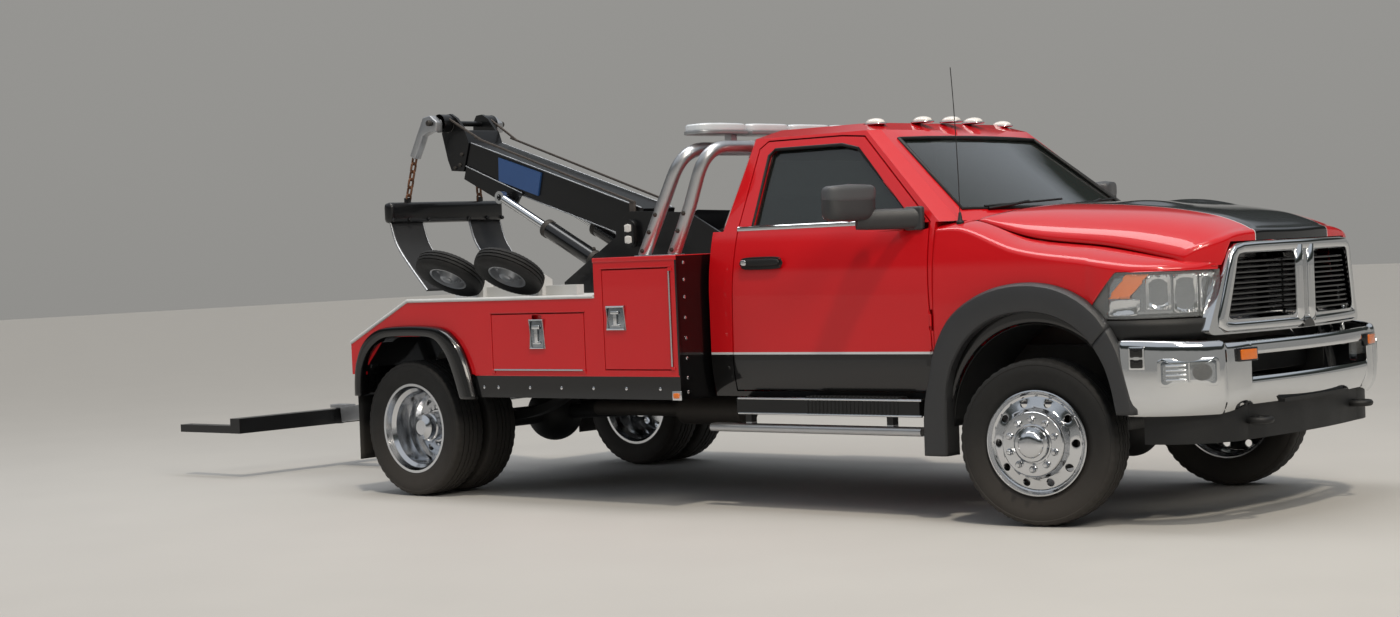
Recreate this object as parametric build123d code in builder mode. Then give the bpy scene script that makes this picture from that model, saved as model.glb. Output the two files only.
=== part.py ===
from build123d import *
from math import atan2, cos, degrees, hypot, radians, sin
import os

# Light-duty tow truck: regular cab chassis, twin rear wheels, side tool boxes, boom and wheel lift.
# Every length is in millimetres. While a piece is drawn, x is measured forward from the front axle,
# y to the left of the middle and z up from the road. write() then moves it so that the origin lies
# on the road below the middle of the truck.
os.makedirs("parts", exist_ok=True)

# Running gear
wheelbase = 4280
tyre_radius = 405
tyre_half_width = 112
bead_radius = 250
rim_lip_radius = 267
front_wheel_y = 951
dual_outer_y = 1097
dual_inner_y = 830
kingpin_y = 860
steer_at_rest = 11
axle_z = tyre_radius
rear_axle_x = -wheelbase
pin_gap = 0.3

# Chassis frame
rail_y = 432
rail_top = 840
rail_bottom = 640
rail_web = 8
rail_flange = 70
rail_front_x = 800
rail_rear_x = -4740

# Cab
cab_back_x = -2070
door_rear_x = -1890
door_front_x = -600
firewall_x = -560
sill_z = 605
belt_z = 1490
roof_edge_z = 1985
roof_top_z = 2042
cab_half_width = 985
belt_half_width = 930
roof_half_width = 742
cab_wall = 55
cab_floor_z = 850
cab_floor_thickness = 40
door_gap = 8
fender_rear_x = door_front_x + 8

# Nose
hood_side_y = 800
hood_thickness = 22
hood_gap = 8
fender_half_width = 985
arch_radius = 470
arch_z = 470
grille_half_width = 590
grille_top_z = 1330
grille_bottom_z = 900
bumper_x = 985
bumper_top_z = 880
bumper_bottom_z = 577
bumper_half_width = 1000
valance_bottom_z = 400

# Tow body
body_half_width = 1210
body_inner_y = 652
body_wall = 25
body_front_x = -2100
tall_box_rear_x = -2716
tall_box_top = 1373
deck_z = 1165
deck_thickness = 8
deck_bend_x = -4269
tail_x = -4797
tail_top_z = 922
body_floor_z = 728
skirt_bottom_z = 600
skirt_rear_x = -3700
low_door = (-3550, -2800, 753, 1080)
tall_door = (-2655, -2145, 758, 1313)
box_door_thickness = 24
hinge_radius = 5
hinge_stand = 4.5

# Boom and its lift cylinders
boom_pivot = (-3300, 1551)
boom_angle = 18.1
boom_depth = 205
boom_half_width = 140
boom_wall = 12
boom_start = 40
boom_end = 1610
inner_boom_clear = 6
mast_plate_y = 290
mast_plate = 16
cylinder_y = 220
rod_eye = (-4455, 1781)
barrel_foot = (-3590, 1330)
barrel_radius = 55
rod_radius = 28
pin_radius = 20

# Wheel lift
lift_pivot = (-4560, 560)
lift_arm_length = 900
stinger_tail = 620
stinger_end = 1760
lift_half_width = 80
lift_depth = 130
lift_wall = 10
crossbar_x = -6400
crossbar_z = 353
fork_y = 850
fork_end_x = -7010
rear_end_x = -7010
front_end_x = 1005

front_axle_x = -(front_end_x + rear_end_x) / 2


def write(builder, name):
    """Put the finished piece in the vehicle's frame, label it and save it."""
    piece = builder.part.moved(Location((front_axle_x, 0, 0)))
    piece.label = name
    export_step(piece, f"parts/{name}.step")


def write_steered(builder, name, side):
    """Save a piece that turns with a front wheel, as it stands: steered a little to the left."""
    kingpin = Axis((0, side * kingpin_y, 0), (0, 0, 1))
    with BuildPart() as steered:
        add(builder.part.rotate(kingpin, steer_at_rest))
    write(steered, name)


def block(x, y, z, mode=Mode.ADD):
    """A box between the given pairs of x, y and z."""
    with Locations(((x[0] + x[1]) / 2, (y[0] + y[1]) / 2, (z[0] + z[1]) / 2)):
        Box(abs(x[1] - x[0]), abs(y[1] - y[0]), abs(z[1] - z[0]), mode=mode)


def side_plane(y):
    """A sketch plane whose axes are x and z, and which faces -y."""
    return Plane(origin=(0, y, 0), x_dir=(1, 0, 0), z_dir=(0, -1, 0))


def front_plane(x):
    """A sketch plane whose axes are y and z, and which faces +x."""
    return Plane(origin=(x, 0, 0), x_dir=(0, 1, 0), z_dir=(1, 0, 0))


def side_prism(points, y, mode=Mode.ADD):
    """A closed outline of (x, z) points drawn between two values of y."""
    with BuildSketch(side_plane(max(y))) as outline:
        Polygon(*points, align=None)
    extrude(outline.sketch, amount=abs(y[1] - y[0]), mode=mode)


def front_prism(points, x, mode=Mode.ADD):
    """A closed outline of (y, z) points drawn between two values of x."""
    with BuildSketch(front_plane(min(x))) as outline:
        Polygon(*points, align=None)
    extrude(outline.sketch, amount=abs(x[1] - x[0]), mode=mode)


def cross_bar(centre, radius, y, mode=Mode.ADD):
    """A round bar along y at the given (x, z)."""
    with BuildSketch(side_plane(max(y))) as disc:
        with Locations(centre):
            Circle(radius)
    extrude(disc.sketch, amount=abs(y[1] - y[0]), mode=mode)


# Frame rails: two C-section channels
with BuildPart() as frame_rails:
    block((rail_rear_x, rail_front_x), (-rail_y, -rail_y + rail_web), (rail_bottom, rail_top))
    for z in ((rail_bottom, rail_bottom + rail_web), (rail_top - rail_web, rail_top)):
        block((rail_rear_x, rail_front_x), (-rail_y, -rail_y + rail_flange), z)
    mirror(about=Plane.XZ)
write(frame_rails, "frame_rails")

# Crossmembers: channels between the rails, each a width along x
crossmember_x = [660, -1000, -1700, -2400, -3100, -3750, -4640]
crossmember_width = 90
crossmember_z = (690, 790)
with BuildPart() as crossmembers:
    for x in crossmember_x:
        block((x - crossmember_width / 2, x + crossmember_width / 2), (-rail_y + rail_web, rail_y - rail_web),
              crossmember_z)
write(crossmembers, "crossmembers")

# Front axle: a beam with a yoke at each kingpin, and a coil seat below each rail
beam_half_width = 45
yoke_gap = 112
yoke_height = 34
yoke_y = 735
front_spring_y = 470
front_spring_radius = 62
with BuildPart() as front_axle:
    with BuildSketch(side_plane(yoke_y + 30)):
        with Locations((0, axle_z)):
            RectangleRounded(2 * beam_half_width, 96, 20)
    extrude(amount=2 * (yoke_y + 30))
    with Locations((0, -120, axle_z)):
        Sphere(150)
    for side in (-1, 1):
        y_in = side * yoke_y
        y_out = side * (kingpin_y + 42)
        for z in (axle_z + yoke_gap, axle_z - yoke_gap - yoke_height):
            block((-beam_half_width, beam_half_width), (y_in, y_out), (z, z + yoke_height))
        block((-beam_half_width, beam_half_width), (y_in, side * (yoke_y + 34)),
              (axle_z - yoke_gap, axle_z + yoke_gap))
        block((-70, 70), (side * 400, side * 540), (axle_z + 30, axle_z + 62))
        for end in (-1, 1):
            with Locations((0, side * kingpin_y, axle_z + end * (yoke_gap - 1.35))):
                Cylinder(34, 6.7)
        with Locations((0, side * front_spring_y, (axle_z + 60 + rail_bottom) / 2)):
            Cylinder(front_spring_radius, rail_bottom - axle_z - 60)
write(front_axle, "front_axle")

# Steering knuckles: a post between the yoke's ears, a spindle, a brake and a steering arm
knuckle_half_height = yoke_gap - 5
spindle_radius = 38
spindle_end_y = 1010
with BuildPart() as knuckle_right:
    with Locations((0, -kingpin_y, axle_z)):
        Cylinder(38, 2 * knuckle_half_height)
    cross_bar((0, axle_z), 62, (-kingpin_y, -kingpin_y - 45))
    cross_bar((0, axle_z), spindle_radius, (-kingpin_y, -spindle_end_y))
    block((60, 150), (-kingpin_y - 45, -kingpin_y - 4), (axle_z - 60, axle_z + 60))
    block((0, 62), (-kingpin_y - 40, -kingpin_y - 4), (axle_z - 40, axle_z + 40))
write_steered(knuckle_right, "knuckle_right", -1)
with BuildPart() as knuckle_left:
    mirror(knuckle_right.part, about=Plane.XZ)
write_steered(knuckle_left, "knuckle_left", 1)

# Rear axle: tubes and a central housing, leaf packs under the rails and the driveshaft forward
rear_tube_radius = 58
rear_spindle_radius = 45
rear_spindle_end_y = 1040
leaf_y = 500
leaf_half_width = 38
gearbox_rear_x = -1560
shaft_z = 560
with BuildPart() as rear_axle:
    cross_bar((rear_axle_x, axle_z), rear_tube_radius, (-700, 700))
    cross_bar((rear_axle_x, axle_z), rear_spindle_radius, (-rear_spindle_end_y, rear_spindle_end_y))
    with Locations((rear_axle_x, 0, axle_z)):
        Sphere(175)
    for side in (-1, 1):
        y = (side * leaf_y - leaf_half_width, side * leaf_y + leaf_half_width)
        leaf_front = rear_axle_x + 720
        leaf_rear = rear_axle_x - 460
        with BuildSketch(side_plane(max(y))):
            with BuildLine():
                ThreePointArc((leaf_front, rail_bottom - 8), (rear_axle_x, 470), (leaf_rear, rail_bottom - 8))
                Line((leaf_rear, rail_bottom - 8), (leaf_rear, rail_bottom - 38))
                ThreePointArc((leaf_rear, rail_bottom - 38), (rear_axle_x, 415), (leaf_front, rail_bottom - 38))
                Line((leaf_front, rail_bottom - 38), (leaf_front, rail_bottom - 8))
            make_face()
        extrude(amount=2 * leaf_half_width)
        for x in (leaf_front, leaf_rear):
            block((x - 30, x + 30), (side * rail_y, side * (leaf_y + leaf_half_width)),
                  (rail_bottom - 60, rail_bottom + 60))
    shaft_start = (gearbox_rear_x - 3.5, shaft_z)
    shaft_end = (rear_axle_x + 150, axle_z + 10)
    shaft_angle = degrees(atan2(shaft_start[1] - shaft_end[1], shaft_start[0] - shaft_end[0]))
    shaft_length = hypot(shaft_start[0] - shaft_end[0], shaft_start[1] - shaft_end[1])
    with BuildSketch(Plane(origin=(shaft_end[0], 0, shaft_end[1]),
                           z_dir=(cos(radians(shaft_angle)), 0, sin(radians(shaft_angle))))):
        Circle(48)
    extrude(amount=shaft_length)
write(rear_axle, "rear_axle")

# Wheels. A tyre's half outline is (distance from the wheel's plane, radius), from bead to crown
tyre_outline = [(84, bead_radius), (86, 270), (104, 300), (tyre_half_width, 338), (109, 370), (97, 396), (60, 404)]


def wheel_plane(x, y):
    """A plane through the axle line: its local x points outward to the right, its local y up."""
    return Plane(origin=(x, y, axle_z), x_dir=(0, -1, 0), z_dir=(-1, 0, 0))


def tyre(x, y):
    """Revolve the tyre about its own axis."""
    with BuildSketch(wheel_plane(x, y)) as section:
        with BuildLine():
            left = [(-w, r) for w, r in tyre_outline]
            right = [(w, r) for w, r in reversed(tyre_outline)]
            Polyline(*left, (0, tyre_radius), *right, left[0])
        make_face()
    revolve(section.sketch, axis=Axis((x, y, axle_z), (0, 1, 0)))


def rim(x, y, outline, hole_ring, hole_radius, hole_from, hole_to, hole_count=10):
    """Revolve a rim from its (distance outward, radius) outline and cut its hand holes."""
    with BuildSketch(wheel_plane(x, y)) as section:
        with BuildLine():
            Polyline(*outline, outline[0])
        make_face()
    revolve(section.sketch, axis=Axis((x, y, axle_z), (0, 1, 0)))
    with BuildSketch(side_plane(y - hole_from)) as holes:
        with Locations((x, axle_z)):
            with PolarLocations(hole_ring, hole_count, start_angle=18):
                Circle(hole_radius)
    extrude(holes.sketch, amount=hole_to - hole_from, mode=Mode.SUBTRACT)


# Both rims share this barrel: lip, bead seats and drop centre, from the inner edge to the outer one
barrel = [(-95, rim_lip_radius), (-88, rim_lip_radius), (-88, bead_radius - 0.5), (-60, bead_radius - 0.5),
          (-40, 226), (40, 226), (60, bead_radius - 0.5), (88, bead_radius - 0.5), (88, rim_lip_radius),
          (95, rim_lip_radius)]
front_bore = spindle_radius + pin_gap
front_rim_outline = barrel + [
    (95, 256), (82, 238), (78, 205), (84, 160), (92, 150), (92, 100), (104, 90), (150, 84), (158, 62),
    (190, 56), (199, 34), (199, 0), (62, 0), (62, front_bore), (-40, front_bore), (-40, 70), (60, 74), (70, 130),
    (62, 200), (45, 216), (-36, 216), (-70, 240), (-95, 246)]
with BuildPart() as tyre_front_right:
    tyre(0, -front_wheel_y)
write_steered(tyre_front_right, "tyre_front_right", -1)
with BuildPart() as rim_front_right:
    rim(0, -front_wheel_y, front_rim_outline, 190, 21, 40, 120)
    with BuildSketch(side_plane(-front_wheel_y - 90)):
        with Locations((0, axle_z)):
            with PolarLocations(124, 8):
                Circle(15)
    extrude(amount=34)
write_steered(rim_front_right, "rim_front_right", -1)

dual_offset = (dual_outer_y - dual_inner_y) / 2
outer_rim_outline = barrel + [
    (95, 252), (60, 238), (40, 218), (-60, 214), (-100, 205), (-dual_offset + 10, 190), (-dual_offset + 10, 0),
    (-dual_offset, 0), (-dual_offset, 196), (-108, 214), (-95, 240)]
with BuildPart() as tyres_rear_right:
    tyre(rear_axle_x, -dual_outer_y)
    tyre(rear_axle_x, -dual_inner_y)
write(tyres_rear_right, "tyres_rear_right")
rear_hub_bore = rear_spindle_radius + pin_gap
dual_middle_y = (dual_outer_y + dual_inner_y) / 2
with BuildPart() as rims_rear_right:
    rim(rear_axle_x, -dual_outer_y, outer_rim_outline, 160, 24, -dual_offset - 5, -dual_offset + 60)
    mirror(about=Plane.XZ.offset(dual_middle_y))
    for radius, reach in ((96, 40), (84, 110), (72, 150), (40, 160)):
        cross_bar((rear_axle_x, axle_z), radius, (-dual_middle_y, -dual_middle_y - reach))
    cross_bar((rear_axle_x, axle_z), 92, (-dual_middle_y, -dual_middle_y + 170))
    with BuildSketch(side_plane(-dual_middle_y)):
        with Locations((rear_axle_x, axle_z)):
            with PolarLocations(112, 10):
                Circle(14)
    extrude(amount=36)
    cross_bar((rear_axle_x, axle_z), rear_hub_bore, (-dual_middle_y + 180, -rear_spindle_end_y - 2),
              mode=Mode.SUBTRACT)
write(rims_rear_right, "rims_rear_right")

for right, name in ((tyre_front_right, "tyre_front_left"), (rim_front_right, "rim_front_left")):
    with BuildPart() as left_wheel:
        mirror(right.part, about=Plane.XZ)
    write_steered(left_wheel, name, 1)
for right, name in ((tyres_rear_right, "tyres_rear_left"), (rims_rear_right, "rims_rear_left")):
    with BuildPart() as left_wheel:
        mirror(right.part, about=Plane.XZ)
    write(left_wheel, name)

# Engine and gearbox as plain blocks, with the radiator ahead and the exhaust along the right rail
engine_x = (-520, 420)
radiator_x = (560, 620)
with BuildPart() as engine:
    block(engine_x, (-330, 330), (600, 1200))
    block((-900, -520), (-190, 190), (560, 830))
    block((gearbox_rear_x, -900), (-120, 120), (500, 690))
    block((radiator_x[0], radiator_x[1]), (-420, 420), (850, 1290))
    block((420, radiator_x[0]), (-60, 60), (900, 1020))
    block((-2420, gearbox_rear_x + 100), (-300, -250), (470, 520))
    block((gearbox_rear_x + 60, gearbox_rear_x + 120), (-300, -100), (490, 560))
    with BuildSketch(front_plane(-2890)):
        with Locations((-300, 470)):
            Circle(88)
    extrude(amount=480)
    with BuildSketch(front_plane(-3600)):
        with Locations((-300, 470)):
            Circle(45)
    extrude(amount=720)
    for x in (-3450, -2700):
        block((x, x + 30), (-320, -280), (540, rail_bottom + 60))
        block((x, x + 30), (-rail_y + rail_web, -280), (rail_bottom + 30, rail_bottom + 60))
write(engine, "engine")


def cab_face(x_face, inset=0):
    """The cab's lower front view: a rounded flank from sill to belt line, less an inset."""
    w = cab_half_width - inset
    b = belt_half_width - inset
    with BuildSketch(front_plane(x_face)) as face:
        with BuildLine():
            Polyline((-b, belt_z), (b, belt_z))
            ThreePointArc((b, belt_z), (w - 12, 1300), (w, 1080))
            Line((w, 1080), (w, 838))
            ThreePointArc((w, 838), (w - 8, 720), (w - 34, sill_z))
            Line((w - 34, sill_z), (-w + 34, sill_z))
            ThreePointArc((-w + 34, sill_z), (-w + 8, 720), (-w, 838))
            Line((-w, 838), (-w, 1080))
            ThreePointArc((-w, 1080), (-w + 12, 1300), (-b, belt_z))
        make_face()
    return face


def plan_section(z, back_x, side_y, side_end_x, corner_x, corner_y, middle_x):
    """A level slice of the cab's upper part: straight back and sides, cut corners and a bowed front."""
    with BuildSketch(Plane.XY.offset(z)) as section:
        with BuildLine():
            Polyline((corner_x, -corner_y), (side_end_x, -side_y), (back_x + 60, -side_y), (back_x, -side_y + 60),
                     (back_x, side_y - 60), (back_x + 60, side_y), (side_end_x, side_y), (corner_x, corner_y))
            ThreePointArc((corner_x, corner_y), (middle_x, 0), (corner_x, -corner_y))
        make_face()
    return section


# The cab's upper part by levels, each with the back, the side and the bowed windscreen's corner
upper_levels = [
    # z, back_x, side_y, side_end_x, corner_x, corner_y, middle_x
    (belt_z, -2055, belt_half_width, -570, -500, 855, -310),
    (roof_edge_z, -1955, roof_half_width, -1145, -1095, 680, -1062),
    (roof_top_z - 12, -1890, 600, -1240, -1210, 560, -1180),
    (roof_top_z, -1700, 380, -1420, -1400, 350, -1380),
]


def upper_cab(inset, top_drop):
    """Loft the upper cab level by level, drawn in by an inset."""
    levels = []
    for z, back, side, side_end, corner_x, corner_y, middle in upper_levels:
        drop = top_drop if z > belt_z else 0
        levels.append((z - drop, back + inset, side - inset, side_end - inset, corner_x - inset, corner_y - inset,
                       middle - inset))
    for lower, upper in zip(levels, levels[1:]):
        low = plan_section(*lower)
        high = plan_section(*upper)
        loft([low.sketch.face(), high.sketch.face()], ruled=True)


# The door and window outlines in (x, z)
door_outline = [(door_front_x, 640), (door_front_x - 30, belt_z), (-1150, 1950), (-1300, 1962), (-1800, 1962),
                (door_rear_x + 40, 1925), (door_rear_x, belt_z), (door_rear_x - 22, 838), (door_rear_x - 22, 640)]
window_outline = [(-740, belt_z + 18), (-1180, 1895), (-1290, 1920), (-1745, 1920), (-1780, 1890),
                  (-1800, belt_z + 18)]
# Door hinges: the vertical axis in (x, y) and the height of each barrel
door_axis = (door_front_x - 6, cab_half_width)
door_hinge_radius = 6
door_hinge_z = (800, 1000)
# The windscreen and rear window in (y, z), and the room that the screens are cut from in x
screen_outline = [(-765, 1548), (-630, 1932), (630, 1932), (765, 1548)]
screen_x = (-1190, -200)
rear_window_outline = [(-600, 1530), (-540, 1870), (540, 1870), (600, 1530)]
rear_window_x = (-2200, -1800)
with BuildPart() as cab_room:
    extrude(cab_face(cab_back_x + cab_wall, cab_wall).sketch, amount=firewall_x - cab_back_x - 2 * cab_wall)
    upper_cab(cab_wall, 32)
    block((cab_back_x, 0), (-1200, 1200), (0, cab_floor_z + cab_floor_thickness), mode=Mode.SUBTRACT)
with BuildPart() as cab_shell:
    extrude(cab_face(cab_back_x).sketch, amount=firewall_x - cab_back_x)
    upper_cab(0, 0)
    add(cab_room.part, mode=Mode.SUBTRACT)
    block((cab_back_x - 50, 0), (-690, 690), (0, cab_floor_z), mode=Mode.SUBTRACT)
    for x in (-1950, -720):
        for y in (-rail_y + 30, rail_y - 30):
            with Locations((x, y, (rail_top + cab_floor_z) / 2)):
                Cylinder(35, cab_floor_z - rail_top)
    # Windscreen and rear window openings
    front_prism(screen_outline, screen_x, mode=Mode.SUBTRACT)
    front_prism(rear_window_outline, rear_window_x, mode=Mode.SUBTRACT)
    # Door openings, and the step in the front pillars that the fenders overlap
    for y in (1200, -600):
        with BuildSketch(side_plane(y)):
            Polygon(*door_outline, align=None)
            offset(amount=door_gap, kind=Kind.INTERSECTION)
        extrude(amount=600, mode=Mode.SUBTRACT)
    for side in (-1, 1):
        block((fender_rear_x - 0.3, -400), (side * 805, side * 1200), (500, belt_z), mode=Mode.SUBTRACT)
        for z in door_hinge_z:
            with Locations((door_axis[0], side * door_axis[1], z)):
                Cylinder(17, 106, mode=Mode.SUBTRACT)
write(cab_shell, "cab_shell")

door_thickness = 60
mirror_centre = (-925, -1205, 1600)
mirror_turn = 22
with BuildPart() as door_room:
    extrude(cab_face(cab_back_x, door_thickness).sketch, amount=firewall_x - cab_back_x)
    upper_cab(door_thickness, 0)
with BuildPart() as door_right:
    extrude(cab_face(cab_back_x).sketch, amount=firewall_x - cab_back_x)
    upper_cab(0, 0)
    add(door_room.part, mode=Mode.SUBTRACT)
    with BuildSketch(side_plane(-300)):
        Polygon(*door_outline, align=None)
    extrude(amount=900, mode=Mode.INTERSECT)
    with BuildSketch(side_plane(0)):
        Polygon(*window_outline, align=None)
    extrude(amount=1200, mode=Mode.SUBTRACT)
    # Hinge barrels on the front edge, clear of the fender's halves of each hinge
    for z in door_hinge_z:
        for end in (-1, 1):
            with Locations((door_axis[0], -door_axis[1], z + end * 40.8)):
                Cylinder(11.5, 21.6, mode=Mode.SUBTRACT)
        with Locations((door_axis[0], -door_axis[1], z)):
            Cylinder(door_hinge_radius, 60)
        block((door_axis[0] - 34, door_axis[0]), (-door_axis[1], -door_axis[1] + 6), (z - 30, z + 30))
    # Handle, and the mirror on its arm
    block((-1830, -1560), (-cab_half_width - 26, -cab_half_width - 4), (1296, 1336))
    block((-1830, -1790), (-cab_half_width - 20, -cab_half_width + 40), (1300, 1332))
    block((-1600, -1560), (-cab_half_width - 20, -cab_half_width + 40), (1300, 1332))
    with BuildSketch(Plane.XY.offset(1452)) as arm_plan:
        Polygon((-655, -belt_half_width + 8), (-770, -belt_half_width + 8), (-860, -1060), (-950, -1130),
                (-900, -1240), (-800, -1150), (-690, -1000), align=None)
    extrude(arm_plan.sketch, amount=62)
    with BuildSketch(Plane(origin=mirror_centre, x_dir=(cos(radians(mirror_turn)), sin(radians(mirror_turn)), 0),
                           z_dir=(0, 0, 1))) as head:
        RectangleRounded(118, 275, 34)
    extrude(head.sketch, amount=94, both=True, taper=6)
write(door_right, "door_right")
with BuildPart() as door_left:
    mirror(door_right.part, about=Plane.XZ)
write(door_left, "door_left")

# Door glass: a pane in the window opening, flush with the middle of the door
glass_thickness = 5
glass_depth = 26
with BuildPart() as glass_room:
    upper_cab(glass_depth + glass_thickness, 0)
with BuildPart() as door_glass_right:
    upper_cab(glass_depth, 0)
    add(glass_room.part, mode=Mode.SUBTRACT)
    with BuildSketch(side_plane(-300)):
        Polygon(*window_outline, align=None)
        offset(amount=-0.3, kind=Kind.INTERSECTION)
    extrude(amount=900, mode=Mode.INTERSECT)
write(door_glass_right, "door_glass_right")
with BuildPart() as door_glass_left:
    mirror(door_glass_right.part, about=Plane.XZ)
write(door_glass_left, "door_glass_left")

# Windscreen and rear window
screen_depth = 10
with BuildPart() as screen_room:
    upper_cab(screen_depth + glass_thickness, 0)
with BuildPart() as screens:
    for outline, x in ((screen_outline, screen_x), (rear_window_outline, rear_window_x)):
        with BuildSketch(front_plane(min(x))):
            Polygon(*outline, align=None)
            offset(amount=-0.3, kind=Kind.INTERSECTION)
        extrude(amount=max(x) - min(x))
with BuildPart() as cab_glass:
    upper_cab(screen_depth, 0)
    add(screen_room.part, mode=Mode.SUBTRACT)
    add(screens.part, mode=Mode.INTERSECT)
write(cab_glass, "cab_glass")

# Dashboard with the steering column and wheel on the left, and the bench seat
seat_floor_z = cab_floor_z + cab_floor_thickness
with BuildPart() as dashboard:
    side_prism([(firewall_x - cab_wall - 0.3, 1100), (firewall_x - cab_wall - 0.3, 1470), (-760, 1480), (-900, 1400),
                (-930, 1250), (-800, 1100)], (-820, 820))
    with BuildSketch(Plane(origin=(-900, 420, 1300), z_dir=(-0.9, 0, 0.436))):
        Circle(22)
    extrude(amount=210)
    with Locations(Plane(origin=(-1089, 420, 1391.6), z_dir=(-0.9, 0, 0.436))):
        Torus(190, 15)
        Cylinder(55, 24)
        Box(365, 30, 14)
write(dashboard, "dashboard")

with BuildPart() as bench_seat:
    block((-1900, -1330), (-760, 760), (seat_floor_z + 0.3, 1180))
    side_prism([(-1900, 1170), (-1690, 1170), (-1820, 1700), (-1920, 1700)], (-760, 760))
write(bench_seat, "bench_seat")

# Front fenders: a thin crowned flank with an open wheel arch, rounded in plan towards the nose
fender_thickness = 26
hood_seam = [(-424, 1488), (-112, 1385), (320, 1330), (705, 1232), (800, 1228)]


def fender_form(inset):
    """The right fender's outer form, drawn in by an inset; its side view, front view and plan meet."""
    inner_y = -hood_side_y - hood_gap + 60 * (inset > 0)
    w = fender_half_width - inset
    seam = [(x, z - inset) for x, z in hood_seam]
    side_prism([(fender_rear_x - inset, sill_z - inset), (fender_rear_x - inset, 1488 - inset), *seam,
                (860, 1228 - inset), (860, 880), (500, 880), (460, sill_z - inset)], (-w, inner_y))
    with BuildSketch(front_plane(fender_rear_x - 50)) as crown:
        with BuildLine():
            Line((-w, sill_z - 40), (-w, 1080))
            ThreePointArc((-w, 1080), (-w + 12, 1300), (-w + 50, 1415))
            ThreePointArc((-w + 50, 1415), (-w + 85, 1470 - inset), (-w + 185, 1500 - inset))
            Polyline((-w + 185, 1500 - inset), (-700, 1500 - inset), (-700, sill_z - 40), (-w, sill_z - 40))
        make_face()
    extrude(crown.sketch, amount=1700, mode=Mode.INTERSECT)
    with BuildSketch(Plane.XY.offset(500)) as plan:
        with BuildLine():
            Polyline((-700, -1200), (-700, -600), (860 - inset, -600))
            ThreePointArc((860 - inset, -600), (700 - inset, -880 + inset), (300, -w))
            Polyline((300, -w), (300, -1200), (-700, -1200))
        make_face()
    extrude(plan.sketch, amount=1200, mode=Mode.INTERSECT)


def nose_form(inset):
    """The right front corner below the hood's edge, from the arch round to the grille."""
    front_prism([(-fender_half_width + inset, 880 - inset), (-676, 880 - inset), (-634, nose_top_z - inset),
                 (-fender_half_width + inset, nose_top_z - inset)], (300, 900))
    with BuildSketch(Plane.XY.offset(500)) as plan:
        with BuildLine():
            Polyline((300, -600), (868 - inset, -600))
            ThreePointArc((868 - inset, -600), (712 - inset, -880 + inset), (300, -fender_half_width + inset))
            Line((300, -fender_half_width + inset), (300, -600))
        make_face()
    extrude(plan.sketch, amount=1200, mode=Mode.INTERSECT)


# The headlamp's outline in (x, z), which wraps round the corner
lamp_outline = [(324, 1046), (460, 1210), (880, 1208), (866, 990), (352, 990)]
nose_top_z = 1216
with BuildPart() as nose:
    nose_form(0)
with BuildPart() as nose_room:
    nose_form(fender_thickness)
with BuildPart() as lamp_front:
    nose_form(4)
with BuildPart() as lamp_back:
    nose_form(50)
with BuildPart() as fender_room:
    fender_form(fender_thickness)
with BuildPart() as fenders:
    fender_form(0)
    add(fender_room.part, mode=Mode.SUBTRACT)
    cross_bar((0, arch_z), arch_radius + 40, (-1200, -500), mode=Mode.SUBTRACT)
    block((-arch_radius, arch_radius), (-1200, -500), (300, arch_z), mode=Mode.SUBTRACT)
    add(nose.part)
    add(nose_room.part, mode=Mode.SUBTRACT)
    with BuildSketch(side_plane(-500)):
        Polygon(*lamp_outline, align=None)
        offset(amount=0.3, kind=Kind.INTERSECTION)
    extrude(amount=700, mode=Mode.SUBTRACT)
    block((300, 900), (-1200, -600), (500, bumper_top_z + 6), mode=Mode.SUBTRACT)
    for z in door_hinge_z:
        for end in (-1, 1):
            with Locations((door_axis[0], -door_axis[1], z + end * 40.3)):
                Cylinder(door_hinge_radius, 20)
            block((door_axis[0], fender_rear_x + 3), (-door_axis[1], -door_axis[1] + 6),
                  (z + end * 40.3 - 10, z + end * 40.3 + 10))
    mirror(about=Plane.XZ)
write(fenders, "fenders")

# Wheel flares over all four arches, with the rear mud flaps
flare_y = 1045
rear_flare_y = body_half_width + 52
front_flare_outer = [(-652, 325), (-645, 580), (-588, 630), (-583, 820), (-480, 1010), (-240, 1140), (0, 1176),
                     (220, 1130), (400, 1010), (500, 800), (563, 545)]
front_flare_inner = [(470, 545), (420, 790), (330, 920), (150, 1010), (0, 1030), (-200, 1000), (-400, 850),
                     (-490, 700), (-500, 325)]
rear_flare_outer = [(-4740, 600), (-4720, 800), (-4520, 1015), (-3940, 1015), (-3790, 800), (-3710, 575)]
rear_flare_inner = [(-3790, 575), (-3850, 760), (-3975, 955), (-4485, 955), (-4665, 770), (-4680, 600)]
with BuildPart() as wheel_flares:
    side_prism(front_flare_outer + front_flare_inner, (-flare_y, -fender_half_width - 0.3))
    side_prism(rear_flare_outer + rear_flare_inner, (-rear_flare_y, -body_half_width - 0.3))
    block((-4768, -4756), (-body_half_width + 5, -body_inner_y - 48), (209, body_floor_z - 0.3))
    mirror(about=Plane.XZ)
write(wheel_flares, "wheel_flares")

# Hood: a crowned pan whose rear edge follows the windscreen, and which lifts at its nose
hood_axis = (-424, 1455)
hood_pin_radius = 6
hood_lug_y = (745, 765)
hood_sections = [
    # x, seam_z, shoulder_z, crown_z
    (-424, 1492, 1520, 1560),
    (-100, 1392, 1510, 1560),
    (330, 1336, 1450, 1526),
    (640, 1264, 1405, 1478),
    (870, 1238, 1325, 1385),
]
hood_edge_depth = 15
grille_outline = [(-grille_half_width - 60, grille_bottom_z), (-grille_half_width, grille_top_z),
                  (grille_half_width, grille_top_z), (grille_half_width + 60, grille_bottom_z)]
grille_rear_x = 780


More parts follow.
